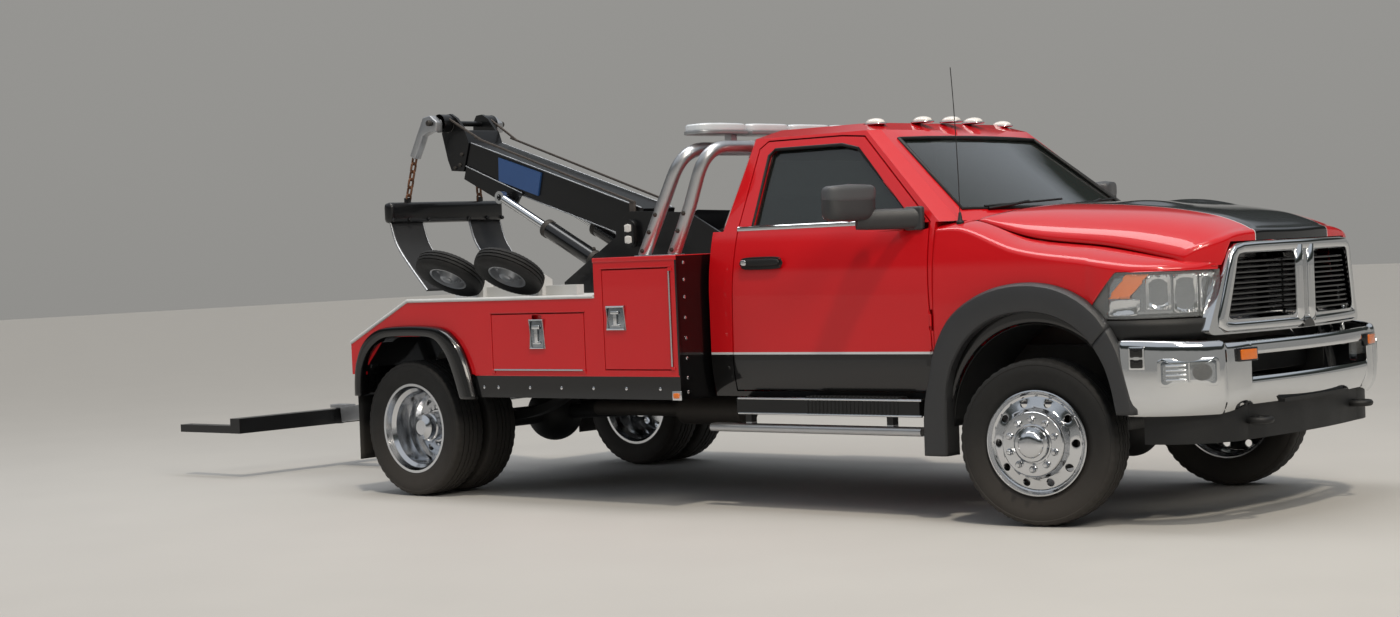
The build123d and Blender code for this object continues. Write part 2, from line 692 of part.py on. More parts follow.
def hood_section(x, seam_z, shoulder_z, crown_z, inset):
    """A slice of the hood: side, crown, side and a level underside."""
    side = hood_side_y - inset
    shoulder = hood_side_y - 110 - inset
    bottom = seam_z - hood_edge_depth - 2 * inset
    with BuildSketch(front_plane(x)) as section:
        with BuildLine():
            Line((-side, seam_z - inset), (-shoulder, shoulder_z - inset))
            ThreePointArc((-shoulder, shoulder_z - inset), (0, crown_z - inset), (shoulder, shoulder_z - inset))
            Polyline((shoulder, shoulder_z - inset), (side, seam_z - inset), (side, bottom), (-side, bottom),
                     (-side, seam_z - inset))
        make_face()
    return section


def hood_form(inset):
    """Loft the hood's slices, drawn in by an inset."""
    slices = [hood_section(*row, inset).sketch.face() for row in hood_sections]
    for rear, front in zip(slices, slices[1:]):
        loft([rear, front], ruled=True)


def hood_plan(inset):
    """Keep what lies inside the hood's plan: a bowed rear edge, straight sides and a rounded nose."""
    w = hood_side_y - inset
    with BuildSketch(Plane.XY.offset(1100)) as plan:
        with BuildLine():
            ThreePointArc((-424, -w), (-225, 0), (-424, w))
            Line((-424, w), (690 - inset, w))
            ThreePointArc((690 - inset, w), (806 - inset, 706 - inset), (850 - inset, 560))
            ThreePointArc((850 - inset, 560), (890 - inset, 0), (850 - inset, -560))
            ThreePointArc((850 - inset, -560), (806 - inset, -706 + inset), (690 - inset, -w))
            Line((690 - inset, -w), (-424, -w))
        make_face()
    extrude(plan.sketch, amount=600, mode=Mode.INTERSECT)


with BuildPart() as hood_room:
    hood_form(hood_thickness)
    add(hood_room.part.moved(Location((-1.2 * hood_thickness, 0, 0))), mode=Mode.REPLACE)
    hood_plan(hood_thickness)
with BuildPart() as hood:
    hood_form(0)
    add(hood_room.part, mode=Mode.SUBTRACT)
    hood_plan(0)
    with BuildSketch(front_plane(grille_rear_x - 0.3)):
        Polygon(*grille_outline, align=None)
        offset(amount=0.3, kind=Kind.INTERSECTION)
    extrude(amount=300, mode=Mode.SUBTRACT)
    for side in (-1, 1):
        y = (side * hood_lug_y[0], side * hood_lug_y[1])
        side_prism([(-436, 1445), (-380, 1445), (-370, 1490), (-398, 1490), (-404, 1465), (-436, 1465)], y)
        cross_bar(hood_axis, hood_pin_radius + pin_gap, y, mode=Mode.SUBTRACT)
write(hood, "hood")

# Cowl below the windscreen, with the hood's hinge brackets
with BuildPart() as cowl:
    side_prism([(firewall_x + 0.3, 1380), (firewall_x + 0.3, belt_z - 0.3), (-434, belt_z - 0.3), (-434, 1380)],
               (-715, 715))
    block((firewall_x + 0.3, -450), (-795, 795), (1380, 1459.7))
    for side in (-1, 1):
        for y in ((727, 743), (767, 778)):
            block((-462, -412), (side * y[0], side * y[1]), (1442, 1468))
        cross_bar(hood_axis, hood_pin_radius, (side * 727, side * 778))
write(cowl, "cowl")

# Grille surround with twin bars in the middle, and the louvres behind it
louvre_count = 11
grille_window = [(-grille_half_width + 12, grille_bottom_z + 66), (-grille_half_width + 58, grille_top_z - 52),
                 (-95, grille_top_z - 52), (-95, grille_bottom_z + 66)]
with BuildPart() as grille_surround:
    with BuildSketch(front_plane(grille_rear_x)) as frame_face:
        Polygon(*grille_outline, align=None)
        fillet(frame_face.vertices().group_by(Axis.Y)[-1], 60)
        fillet(frame_face.vertices().group_by(Axis.Y)[0], 24)
    extrude(amount=200)
    with BuildSketch(Plane.XY.offset(grille_bottom_z - 10)) as bow:
        with BuildLine():
            ThreePointArc((852, -660), (930, 0), (852, 660))
            Polyline((852, 660), (grille_rear_x, 660), (grille_rear_x, -660), (852, -660))
        make_face()
    extrude(amount=600, mode=Mode.INTERSECT)
    for side in (-1, 1):
        with BuildSketch(front_plane(700)) as window:
            Polygon(*[(-side * y, z) for y, z in grille_window], align=None)
            fillet(window.vertices(), 34)
        extrude(amount=300, mode=Mode.SUBTRACT)
    # The groove between the twin bars
    block((905, 960), (-16, 16), (grille_bottom_z + 66, grille_top_z - 52), mode=Mode.SUBTRACT)
write(grille_surround, "grille_surround")
with BuildPart() as grille_louvres:
    front_prism([(-632, grille_bottom_z + 20), (-590, grille_top_z - 20), (590, grille_top_z - 20),
                 (632, grille_bottom_z + 20)], (740, 752))
    for i in range(louvre_count):
        z = grille_bottom_z + 84 + i * (grille_top_z - grille_bottom_z - 182) / (louvre_count - 1)
        slat_end = 560 - 46 * (z - grille_bottom_z - 66) / 312
        for side in (-1, 1):
            side_prism([(745, z + 10), (858, z - 2), (858, z + 7), (745, z + 22)], (side * 104, side * slat_end))
    for side in (-1, 1):
        block((752, grille_rear_x), (side * 100, side * 560), (grille_bottom_z + 20, grille_bottom_z + 60))
write(grille_louvres, "grille_louvres")

# Lamps: headlamps, fog lamps, roof markers, tail lamps and side markers
with BuildPart() as roof_form:
    upper_cab(-0.3, 0)
with BuildPart() as lamps:
    add(lamp_front.part)
    add(lamp_back.part, mode=Mode.SUBTRACT)
    side_prism(lamp_outline, (-1200, -500), mode=Mode.INTERSECT)
    block((800, 850), (-860, -760), (720, 790))
    with Locations((-1200, -590, 2026), (-1150, -237, 2038), (-1130, 0, 2040)):
        Cone(58, 36, 48)
    add(roof_form.part, mode=Mode.SUBTRACT)
    block((tail_x - 22, tail_x - 0.3), (-1190, -1060), (760, 850))
    block((-2150, -2100), (-body_half_width - 14, -body_half_width - 0.3), (606, 640))
    mirror(about=Plane.XZ)
write(lamps, "lamps")

# Front bumper, in chrome, and the valance below it with the tow hooks
with BuildPart() as bumper:
    with BuildSketch(Plane.XY.offset(bumper_bottom_z)):
        with BuildLine():
            ThreePointArc((470, -bumper_half_width), (760, -920), (940, -600))
            ThreePointArc((940, -600), (bumper_x, 0), (940, 600))
            ThreePointArc((940, 600), (760, 920), (470, bumper_half_width))
            Line((470, bumper_half_width), (470, bumper_half_width - 12))
            ThreePointArc((470, bumper_half_width - 12), (745, 905), (920, 588))
            ThreePointArc((920, 588), (bumper_x - 20, 0), (920, -588))
            ThreePointArc((920, -588), (745, -905), (470, -bumper_half_width + 12))
            Line((470, -bumper_half_width + 12), (470, -bumper_half_width))
        make_face()
    extrude(amount=bumper_top_z - bumper_bottom_z)
    block((800, 1100), (-560, 560), (695, 802), mode=Mode.SUBTRACT)
    for side in (-1, 1):
        block((700, 1000), (side * 759.7, side * 860.3), (719.7, 790.3), mode=Mode.SUBTRACT)
    side_prism([(300, 920), (452, 920), (506, 800), (570, 545), (570, 500), (300, 500)], (-1200, 1200),
               mode=Mode.SUBTRACT)
    for side in (-1, 1):
        block((rail_front_x + 0.3, 960), (side * 380, side * 440), (600, 690))
write(bumper, "bumper")

with BuildPart() as valance:
    with BuildSketch(Plane.XY.offset(valance_bottom_z)):
        with BuildLine():
            ThreePointArc((560, -930), (760, -860), (900, -560))
            ThreePointArc((900, -560), (940, 0), (900, 560))
            ThreePointArc((900, 560), (760, 860), (560, 930))
            Polyline((560, 930), (560, 910))
            ThreePointArc((560, 910), (745, 845), (880, 545))
            ThreePointArc((880, 545), (920, 0), (880, -545))
            ThreePointArc((880, -545), (745, -845), (560, -910))
            Polyline((560, -910), (560, -930))
        make_face()
    extrude(amount=bumper_bottom_z - valance_bottom_z - 0.3)
    block((880, 972), (-330, 330), (560, bumper_bottom_z - 0.3))
    # Tow hooks: an open ring on a shank
    for side in (-1, 1):
        block((850, 925), (side * 498, side * 540), (472, 508))
        with Locations((front_end_x - 70, side * 519, 490)):
            Torus(54, 16)
write(valance, "valance")

# Side steps: a silver bar low down and a black tread board above it
with BuildPart() as side_steps:
    with BuildSketch(front_plane(-2065)):
        with Locations((-990, 440)):
            RectangleRounded(80, 44, 20)
    extrude(amount=1400)
    block((-1860, -660), (-1035, -945), (520, 600))
    for x in (-1840, -900):
        block((x, x + 40), (-946, -rail_y), (540, 575))
        block((x, x + 40), (-rail_y, -rail_y + 40), (540, rail_bottom))
        block((x, x + 40), (-990, -946), (440, 575))
    mirror(about=Plane.XZ)
write(side_steps, "side_steps")

# Tow body sides: hollow boxes with door openings, a wheel well and the tall front box
side_outline = [(body_front_x, skirt_bottom_z), (body_front_x, tall_box_top), (tall_box_rear_x, tall_box_top),
                (tall_box_rear_x, deck_z - deck_thickness), (deck_bend_x, deck_z - deck_thickness),
                (tail_x, tail_top_z - deck_thickness), (tail_x, body_floor_z), (-4665, body_floor_z)]
well_outline = [(-4665, body_floor_z - 20), (-4665, 770), (-4485, 955), (-3975, 955), (-3850, 760), (-3790, 560)]
with BuildPart() as side_body_right:
    side_prism(side_outline + [(-4665, 770), (-4485, 955), (-3975, 955), (-3850, 760), (skirt_rear_x, body_floor_z),
                               (skirt_rear_x, skirt_bottom_z)], (-body_half_width, -body_inner_y))
    block((low_door[0] - 12, low_door[1] + 12), (-body_half_width + body_wall, -body_inner_y - body_wall),
          (low_door[2] - 12, low_door[3] + 12), mode=Mode.SUBTRACT)
    block((tall_door[0] - 12, tall_door[1] + 12), (-body_half_width + body_wall, -body_inner_y - body_wall),
          (tall_door[2] - 12, tall_door[3] + 12), mode=Mode.SUBTRACT)
    for x_low, x_high, z_low, z_high in (low_door, tall_door):
        block((x_low, x_high), (-body_half_width - 5, -body_half_width + body_wall + 5), (z_low, z_high),
              mode=Mode.SUBTRACT)
    # Fixed halves of the door hinges
    hinge_y = -body_half_width - hinge_stand
    for x in (low_door[0] + 10.5, low_door[1] - 10.5):
        with BuildSketch(Plane(origin=(x - 9, hinge_y, low_door[2] + 6), z_dir=(1, 0, 0))) as knuckle:
            Circle(hinge_radius)
        extrude(knuckle.sketch, amount=18)
        block((x - 9, x + 9), (hinge_y - 1, -body_half_width), (low_door[2] - 14, low_door[2] + 4))
    for z in (tall_door[2] + 10.5, tall_door[3] - 10.5):
        with Locations((tall_door[1] - 6, hinge_y, z)):
            Cylinder(hinge_radius, 18)
        block((tall_door[1] - 4, tall_door[1] + 14), (hinge_y - 1, -body_half_width), (z - 9, z + 9))
write(side_body_right, "side_body_right")
with BuildPart() as side_body_left:
    mirror(side_body_right.part, about=Plane.XZ)
write(side_body_left, "side_body_left")


def box_door(outline, hinge):
    """A flush box door with its latch, and a hinge barrel along the bottom or the front edge."""
    x_low, x_high, z_low, z_high = outline
    gap = 6
    block((x_low + gap, x_high - gap), (-body_half_width, -body_half_width + box_door_thickness),
          (z_low + gap, z_high - gap))
    if hinge == "bottom":
        with BuildSketch(front_plane(x_low + 20)) as barrel_end:
            with Locations((-body_half_width - hinge_stand, z_low + gap)):
                Circle(hinge_radius)
        extrude(barrel_end.sketch, amount=x_high - x_low - 40)
        for x in (x_low + 10, x_high - 10):
            cross = Plane(origin=(x - 10.2, -body_half_width - hinge_stand, z_low + gap), z_dir=(1, 0, 0))
            with BuildSketch(cross) as relief:
                Circle(hinge_radius + 1.5)
            extrude(relief.sketch, amount=20.4, mode=Mode.SUBTRACT)
        latch = ((x_low + x_high) / 2, z_high - 60)
    else:
        with Locations((x_high - gap, -body_half_width - hinge_stand, (z_low + z_high) / 2)):
            Cylinder(hinge_radius, z_high - z_low - 40)
        with Locations((x_high - gap, -body_half_width - hinge_stand, z_low + 10),
                       (x_high - gap, -body_half_width - hinge_stand, z_high - 10)):
            Cylinder(hinge_radius + 1.5, 20.4, mode=Mode.SUBTRACT)
        latch = (x_low + 100, (z_low + z_high) / 2)
    block((latch[0] - 38, latch[0] + 38), (-body_half_width - 8, -body_half_width), (latch[1] - 50, latch[1] + 50))


for outline, hinge, name in ((low_door, "bottom", "low_door"), (tall_door, "front", "tall_door")):
    with BuildPart() as right_door:
        box_door(outline, hinge)
    write(right_door, f"{name}_right")
    with BuildPart() as left_door:
        mirror(right_door.part, about=Plane.XZ)
    write(left_door, f"{name}_left")

# Deck: a bent plate over both sides, with the tailboard and its holes for a pintle hook
pintle_z = 800
pintle_spacing_y = 85.7
pintle_spacing_z = 44.5
pintle_hole_radius = 6.75
with BuildPart() as deck:
    top = [(tall_box_rear_x, deck_z), (deck_bend_x, deck_z), (tail_x - 2, tail_top_z)]
    side_prism(top + [(x, z - deck_thickness + 0.3) for x, z in reversed(top)],
               (-body_half_width - 4, body_half_width + 4))
    block((body_front_x - 620, body_front_x), (-body_inner_y + 0.3, body_inner_y - 0.3),
          (deck_z - deck_thickness, deck_z))
    block((tail_x, tail_x + 20), (-body_inner_y + 0.3, body_inner_y - 0.3), (body_floor_z, tail_top_z - 10))
    with BuildSketch(front_plane(tail_x - 5)):
        with Locations((0, pintle_z)):
            with GridLocations(pintle_spacing_y, pintle_spacing_z, 2, 2):
                Circle(pintle_hole_radius)
    extrude(amount=30, mode=Mode.SUBTRACT)
    for side in (-1, 1):
        block((tail_x + 20, body_front_x), (side * (rail_y - 60), side * rail_y), (rail_top, rail_top + 70))
        for x in (-4300, -3700, -3100, -2500):
            block((x, x + 60), (side * 380, side * (body_inner_y - 0.3)), (rail_top + 70, rail_top + 130))
            block((x, x + 60), (side * 380, side * 430), (rail_top + 100, deck_z - 4))
write(deck, "deck")

# Light pylon: two hoops that lean forward from the tall boxes, and the light bar on top
hoops = [
    # foot_x, middle_x, top_x
    (-2541, -2374, -2250),
    (-2303, -2178, -2120),
]
pylon_y = body_half_width - 210
pylon_middle_z = 1610
pylon_top_z = 1990
pylon_radius = 36
with BuildPart() as light_pylon:
    for foot_x, middle_x, top_x in hoops:
        with BuildLine() as hoop:
            FilletPolyline((foot_x, -pylon_y, tall_box_top + 0.3), (middle_x, -pylon_y, pylon_middle_z),
                           (top_x, -pylon_y, pylon_top_z), (top_x, pylon_y, pylon_top_z),
                           (middle_x, pylon_y, pylon_middle_z), (foot_x, pylon_y, tall_box_top + 0.3),
                           radius=110)
        with BuildSketch(Plane(origin=hoop.line @ 0, z_dir=hoop.line % 0)):
            Circle(pylon_radius)
        sweep(path=hoop.line)
    for side in (-1, 1):
        block((hoops[0][1], hoops[1][1]), (side * (pylon_y - 15), side * (pylon_y + 15)),
              (pylon_middle_z - 25, pylon_middle_z + 25))
    for side in (-1, 1):
        block((-2560, -2280), (side * (pylon_y - 40), side * (pylon_y + 40)), (tall_box_top + 0.3, tall_box_top + 8))
    block((-2700, -2100), (-pylon_y - 100, pylon_y + 100), (1200, tall_box_top + 0.3), mode=Mode.SUBTRACT)
write(light_pylon, "light_pylon")

with BuildPart() as light_bar:
    with BuildSketch(Plane.XY.offset(pylon_top_z + pylon_radius + 0.3)):
        with Locations((-2185, 0)):
            SlotOverall(1850, 230, rotation=90)
    extrude(amount=55)
write(light_bar, "light_bar")

# Boom base: two gusset plates on the deck, the boom's pin and the pins of the lift cylinders
mast_outline = [(-2480, deck_z + 0.3), (-2480, 1450), (-2800, 1620), (-3260, 1645), (-3390, 1570), (-3390, 1497),
                (-3840, 1235), (-3840, deck_z + 0.3)]
boom_pin_radius = 35
work_light = (-3249, 1510)
with BuildPart() as boom_base:
    for side in (-1, 1):
        side_prism(mast_outline, (side * mast_plate_y, side * (mast_plate_y + mast_plate)))
        cross_bar(barrel_foot, pin_radius, (side * (mast_plate_y + 4), side * (cylinder_y - 26)))
    cross_bar(boom_pivot, boom_pin_radius, (-mast_plate_y - mast_plate, mast_plate_y + mast_plate))
    block((-2496, -2480), (-mast_plate_y - mast_plate, mast_plate_y + mast_plate), (deck_z + 0.3, 1440))
    for side in (-1, 1):
        with BuildSketch(side_plane(side * (mast_plate_y + mast_plate + 20))):
            with Locations(work_light):
                SlotOverall(166, 88, rotation=90)
        extrude(amount=20, both=True)
write(boom_base, "boom_base")

# Winches: two drums side by side between the plates
with BuildPart() as winches:
    cross_bar((-2740, 1400), 70, (-mast_plate_y + 0.3, mast_plate_y - 0.3))
    for y in (-270, -60, 40, 250):
        cross_bar((-2740, 1400), 120, (y, y + 20))
    for side in (-1, 1):
        cross_bar((-2740, 1400), 88, (side * 60, side * 250))
write(winches, "winches")


def boom_point(distance, rise):
    """A point in (x, z) from the boom's pivot: along the boom and square to it."""
    a = radians(boom_angle)
    return (boom_pivot[0] - distance * cos(a) + rise * sin(a), boom_pivot[1] + distance * sin(a) + rise * cos(a))


def boom_prism(points, y, mode=Mode.ADD):
    """A closed outline of (distance, rise) points along the boom, drawn between two values of y."""
    side_prism([boom_point(*p) for p in points], y, mode=mode)


half_depth = boom_depth / 2
pad_rise = half_depth - boom_wall - inner_boom_clear + 0.4
pad_y = boom_half_width - boom_wall - inner_boom_clear + 0.4
eye_plate = [(1061, -85), (1095, -178), (1250, -184), (1600, -138), (1600, -55)]
with BuildPart() as boom_outer:
    boom_prism([(boom_start, -half_depth), (boom_end, -half_depth), (boom_end, half_depth), (boom_start, half_depth)],
               (-boom_half_width, boom_half_width))
    boom_prism([(boom_start + 200, -half_depth + boom_wall), (boom_end + 5, -half_depth + boom_wall),
                (boom_end + 5, half_depth - boom_wall), (boom_start + 200, half_depth - boom_wall)],
               (-boom_half_width + boom_wall, boom_half_width - boom_wall), mode=Mode.SUBTRACT)
    # Wear pads at the mouth, which the inner boom slides on
    for side in (-1, 1):
        boom_prism([(boom_end - 90, side * pad_rise), (boom_end - 10, side * pad_rise),
                    (boom_end - 10, side * (half_depth - boom_wall + 0.5)),
                    (boom_end - 90, side * (half_depth - boom_wall + 0.5))], (-100, 100))
        boom_prism([(boom_end - 90, -70), (boom_end - 10, -70), (boom_end - 10, 70), (boom_end - 90, 70)],
                   (side * pad_y, side * (boom_half_width - boom_wall + 0.5)))
    cross_bar(boom_pivot, 70, (-mast_plate_y + 0.3, mast_plate_y - 0.3))
    cross_bar(boom_pivot, boom_pin_radius + pin_gap, (-400, 400), mode=Mode.SUBTRACT)
    for side in (-1, 1):
        boom_prism(eye_plate, (side * boom_half_width, side * (boom_half_width + 12)))
        cross_bar(rod_eye, 30, (side * boom_half_width, side * (cylinder_y - 34)))
write(boom_outer, "boom_outer")

# The inner boom slides in the outer one and carries the head, its two sheaves and the sling's axle
head_start = boom_end + 8
inner_clear = boom_wall + inner_boom_clear
inner_tail = 320
inner_boom_wall = 10
head_cheek = 22
sheave_place = (1834, 171)
sheave_radius = 58
head_half_width = 150
sheave_half_width = 42
sling_pin_radius = 18
head_outline = [(head_start, -half_depth + 10), (1730, -half_depth - 16), (1782, -60), (1880, 90), (1900, 160),
                (1885, 215), (1834, 236), (1770, 222), (1668, 160), (head_start, half_depth - 5)]
with BuildPart() as boom_inner:
    boom_prism([(inner_tail, -half_depth + inner_clear), (head_start, -half_depth + inner_clear),
                (head_start, half_depth - inner_clear), (inner_tail, half_depth - inner_clear)],
               (-boom_half_width + inner_clear, boom_half_width - inner_clear))
    hollow = inner_clear + inner_boom_wall
    boom_prism([(inner_tail - 5, -half_depth + hollow), (head_start - 20, -half_depth + hollow),
                (head_start - 20, half_depth - hollow), (inner_tail - 5, half_depth - hollow)],
               (-boom_half_width + hollow, boom_half_width - hollow), mode=Mode.SUBTRACT)
    boom_prism(head_outline, (-head_half_width, head_half_width))
    boom_prism([(head_start + 40, -half_depth - 30), (1800, -half_depth - 30), (1960, 110), (1960, 250),
                (1700, 250), (head_start + 40, half_depth - 30)],
               (-head_half_width + head_cheek, head_half_width - head_cheek), mode=Mode.SUBTRACT)
    for side in (-1, 1):
        cross_bar(boom_point(*sheave_place), sheave_radius,
                  (side * head_half_width, side * (head_half_width + 2 * sheave_half_width)))
    cross_bar(boom_point(*sheave_place), sling_pin_radius, (-320, 320))
write(boom_inner, "boom_inner")

with BuildPart() as boom_cables:
    for side in (-1, 1):
        y = (side * 155 - 6, side * 155 + 6)
        boom_prism([(90, half_depth + 14), (boom_end - 60, half_depth + 40), (boom_end - 60, half_depth + 52),
                    (90, half_depth + 26)], y)
        boom_prism([(90, half_depth - 60), (130, half_depth - 60), (130, half_depth + 22), (90, half_depth + 22)],
                   (side * (boom_half_width + 0.3), side * 165))
write(boom_cables, "boom_cables")

# Lift cylinders: the barrels turn on the base's pins, and the rods slide in them
lift_length = hypot(rod_eye[0] - barrel_foot[0], rod_eye[1] - barrel_foot[1])
lift_angle = degrees(atan2(rod_eye[1] - barrel_foot[1], barrel_foot[0] - rod_eye[0]))


def cylinder_plane(side, distance):
    """A plane square to the cylinder at a distance from its foot."""
    a = radians(lift_angle)
    return Plane(origin=(barrel_foot[0] - distance * cos(a), side * cylinder_y, barrel_foot[1] + distance * sin(a)),
                 x_dir=(0, 1, 0), z_dir=(-cos(a), 0, sin(a)))


barrel_start = 60
barrel_end = 530
rod_start = 140
with BuildPart() as lift_barrels:
    for side in (-1, 1):
        with BuildSketch(cylinder_plane(side, barrel_start)):
            Circle(barrel_radius)
        extrude(amount=barrel_end - barrel_start)
        cross_bar(barrel_foot, 45, (side * (cylinder_y - 25), side * (cylinder_y + 25)))
        with BuildSketch(cylinder_plane(side, 20)):
            Rectangle(50, 70)
        extrude(amount=barrel_start - 10)
        cross_bar(barrel_foot, pin_radius + pin_gap, (side * 150, side * 300), mode=Mode.SUBTRACT)
        with BuildSketch(cylinder_plane(side, barrel_start + 20)):
            Circle(rod_radius + pin_gap)
        extrude(amount=barrel_end, mode=Mode.SUBTRACT)
write(lift_barrels, "lift_barrels")
with BuildPart() as lift_rods:
    for side in (-1, 1):
        with BuildSketch(cylinder_plane(side, rod_start)):
            Circle(rod_radius)
        extrude(amount=lift_length - rod_start - 30)
        cross_bar(rod_eye, 40, (side * (cylinder_y - 20), side * (cylinder_y + 20)))
        cross_bar(rod_eye, pin_radius, (side * 150, side * 300), mode=Mode.SUBTRACT)
write(lift_rods, "lift_rods")

# Tow sling: swivel cheeks and chains from the boom head, a crossbar and two wide belts
sling_axis = boom_point(*sheave_place)
sling_x = -5230
sling_half_width = 502
cheek_y = head_half_width + 2 * sheave_half_width + 6
cheek_width = 60
cheek_outline = [(-4945, 2290), (-5005, 2335), (-5075, 2325), (-5215, 2085), (-5170, 2060), (-5085, 2205),
                 (-4950, 2225)]
bar_z = (1650, 1786)
# A chain's centre line, from the cheek's tip to the crossbar, and one link's length, width and wire
chain_top = (-5192, 270, 2085)
chain_foot = (sling_x, 320, 1780)
link_count = 6
link_length = 68
link_width = 40
link_wire = 12
belt_y = (205, 485)
belt_thickness = 14
belt_line = [(sling_x, 1656), (-5196, 1557), (-5168, 1504), (-5115, 1436), (-5042, 1356), (-4978, 1289), (-4905, 1215)]
with BuildPart() as tow_sling:
    for side in (-1, 1):
        side_prism(cheek_outline, (side * cheek_y, side * (cheek_y + cheek_width)))
        cross_bar(sling_axis, sling_pin_radius + pin_gap, (side * 200, side * 400), mode=Mode.SUBTRACT)
        top = Vector(chain_top[0], side * chain_top[1], chain_top[2])
        foot = Vector(chain_foot[0], side * chain_foot[1], chain_foot[2])
        along = (foot - top).normalized()
        across = Vector(0, 1, 0).cross(along).normalized()
        for i in range(link_count):
            middle = top + (foot - top) * ((i + 0.5) / link_count)
            face = across if i % 2 else along.cross(across)
            with BuildSketch(Plane(origin=middle, x_dir=along, z_dir=face)):
                SlotOverall(link_length, link_width)
                SlotOverall(link_length - 2 * link_wire, link_width - 2 * link_wire, mode=Mode.SUBTRACT)
            extrude(amount=link_wire / 2, both=True)
        side_prism(belt_line + [(x + belt_thickness, z - belt_thickness / 2) for x, z in reversed(belt_line)],
                   (side * belt_y[0], side * belt_y[1]))
    with BuildSketch(front_plane(sling_x - 40)):
        with Locations((0, (bar_z[0] + bar_z[1]) / 2)):
            RectangleRounded(2 * sling_half_width, bar_z[1] - bar_z[0], 34)
    extrude(amount=80)
write(tow_sling, "tow_sling")

# Wheel lift: a tilting arm below the tail, a sliding stinger and a crossbar with two forks
lift_slope = degrees(atan2(lift_pivot[1] - crossbar_z, lift_pivot[0] - crossbar_x))


def lift_point(distance, rise):
    """A point in (x, z) along the wheel lift's arm from its pivot, and square to it."""
    a = radians(lift_slope)
    return (lift_pivot[0] - distance * cos(a) - rise * sin(a), lift_pivot[1] - distance * sin(a) + rise * cos(a))


def lift_prism(distance, rise, y, mode=Mode.ADD):
    """A straight beam along the arm: pairs of distance, rise and y."""
    corners = [(distance[0], rise[0]), (distance[1], rise[0]), (distance[1], rise[1]), (distance[0], rise[1])]
    side_prism([lift_point(*p) for p in corners], y, mode=mode)


half_lift = lift_depth / 2
inner_half_lift = half_lift - lift_wall
inner_lift_half_width = lift_half_width - lift_wall
slide_gap = 5
lift_pin_radius = 25
hanger_y = 190
fork_pin_radius = 24
fork_tip_hole_radius = 12.5
crossbar_half = 50
tongue_z = crossbar_z + crossbar_half + 6
with BuildPart() as lift_arm:
    lift_prism((0, lift_arm_length), (-half_lift, half_lift), (-lift_half_width, lift_half_width))
    lift_prism((200, lift_arm_length + 5), (-inner_half_lift, inner_half_lift),
               (-inner_lift_half_width, inner_lift_half_width), mode=Mode.SUBTRACT)
    for side in (-1, 1):
        lift_prism((lift_arm_length - 70, lift_arm_length - 10),
                   (side * (inner_half_lift - slide_gap + 0.4), side * (inner_half_lift + 0.5)), (-58, 58))
        lift_prism((lift_arm_length - 70, lift_arm_length - 10), (-45, 45),
                   (side * (inner_lift_half_width - slide_gap + 0.4), side * (inner_lift_half_width + 0.5)))
    cross_bar(lift_pivot, 60, (-hanger_y + 0.3, hanger_y - 0.3))
    cross_bar(lift_pivot, lift_pin_radius + pin_gap, (-300, 300), mode=Mode.SUBTRACT)
write(lift_arm, "lift_arm")
with BuildPart() as stinger:
    lift_prism((stinger_tail, stinger_end), (-inner_half_lift + slide_gap, inner_half_lift - slide_gap),
               (-inner_lift_half_width + slide_gap, inner_lift_half_width - slide_gap))
    block((crossbar_x - 45, crossbar_x + 120), (-45, 45), (tongue_z, tongue_z + 22))
    with Locations((crossbar_x, 0, (tongue_z + crossbar_z - crossbar_half - 6) / 2)):
        Cylinder(fork_pin_radius, tongue_z - crossbar_z + crossbar_half + 6)
write(stinger, "stinger")
with BuildPart() as fork_bar:
    block((crossbar_x - crossbar_half, crossbar_x + crossbar_half), (-fork_y - 50, fork_y + 50),
          (crossbar_z - crossbar_half, crossbar_z + crossbar_half))
    with Locations((crossbar_x, 0, crossbar_z)):
        Hole(fork_pin_radius + pin_gap)
    for side in (-1, 1):
        block((fork_end_x, crossbar_x), (side * (fork_y - 45), side * (fork_y + 45)),
              (crossbar_z - crossbar_half, crossbar_z))
        with Locations((fork_end_x + 60, side * fork_y, crossbar_z - crossbar_half / 2)):
            Hole(fork_tip_hole_radius)
write(fork_bar, "fork_bar")

# Hanger for the wheel lift: two plates under the last crossmember with the arm's pin
with BuildPart() as lift_hanger:
    for side in (-1, 1):
        side_prism([(-4685, 689.7), (-4595, 689.7), (-4500, 620), (-4500, 510), (-4610, 500), (-4685, 600)],
                   (side * hanger_y, side * (hanger_y + 16)))
    cross_bar(lift_pivot, lift_pin_radius, (-hanger_y - 16, hanger_y + 16))
write(lift_hanger, "lift_hanger")

# Dolly frames on the deck, with four wheels that lean out and face down
dolly_wheels = [
    # name, x, side
    ("a_right", -4150, -1),
    ("b_right", -3640, -1),
    ("a_left", -4150, 1),
    ("b_left", -3640, 1),
]
dolly_y = body_half_width - 250
dolly_z = deck_z + 154
dolly_tilt = 57
dolly_pin_radius = 20
# A dolly wheel's outline is (distance outward from its plane, radius), with a dished rim
dolly_outline = [(-44, 118), (-50, 160), (-48, 192), (-34, 210), (0, 215), (34, 210), (48, 192), (50, 160), (44, 118),
                 (36, 112), (30, 104), (6, 98), (6, 60), (34, 50), (34, dolly_pin_radius + pin_gap),
                 (-34, dolly_pin_radius + pin_gap), (-34, 50), (-12, 60), (-12, 104), (-36, 112)]
tilt_y = cos(radians(dolly_tilt))
tilt_z = sin(radians(dolly_tilt))


def dolly_point(side, inward, up_face):
    """A point in (y, z) at a distance behind a dolly wheel's plane and along it towards the middle."""
    return (side * (dolly_y - inward * tilt_y - up_face * tilt_z), dolly_z + inward * tilt_z - up_face * tilt_y)


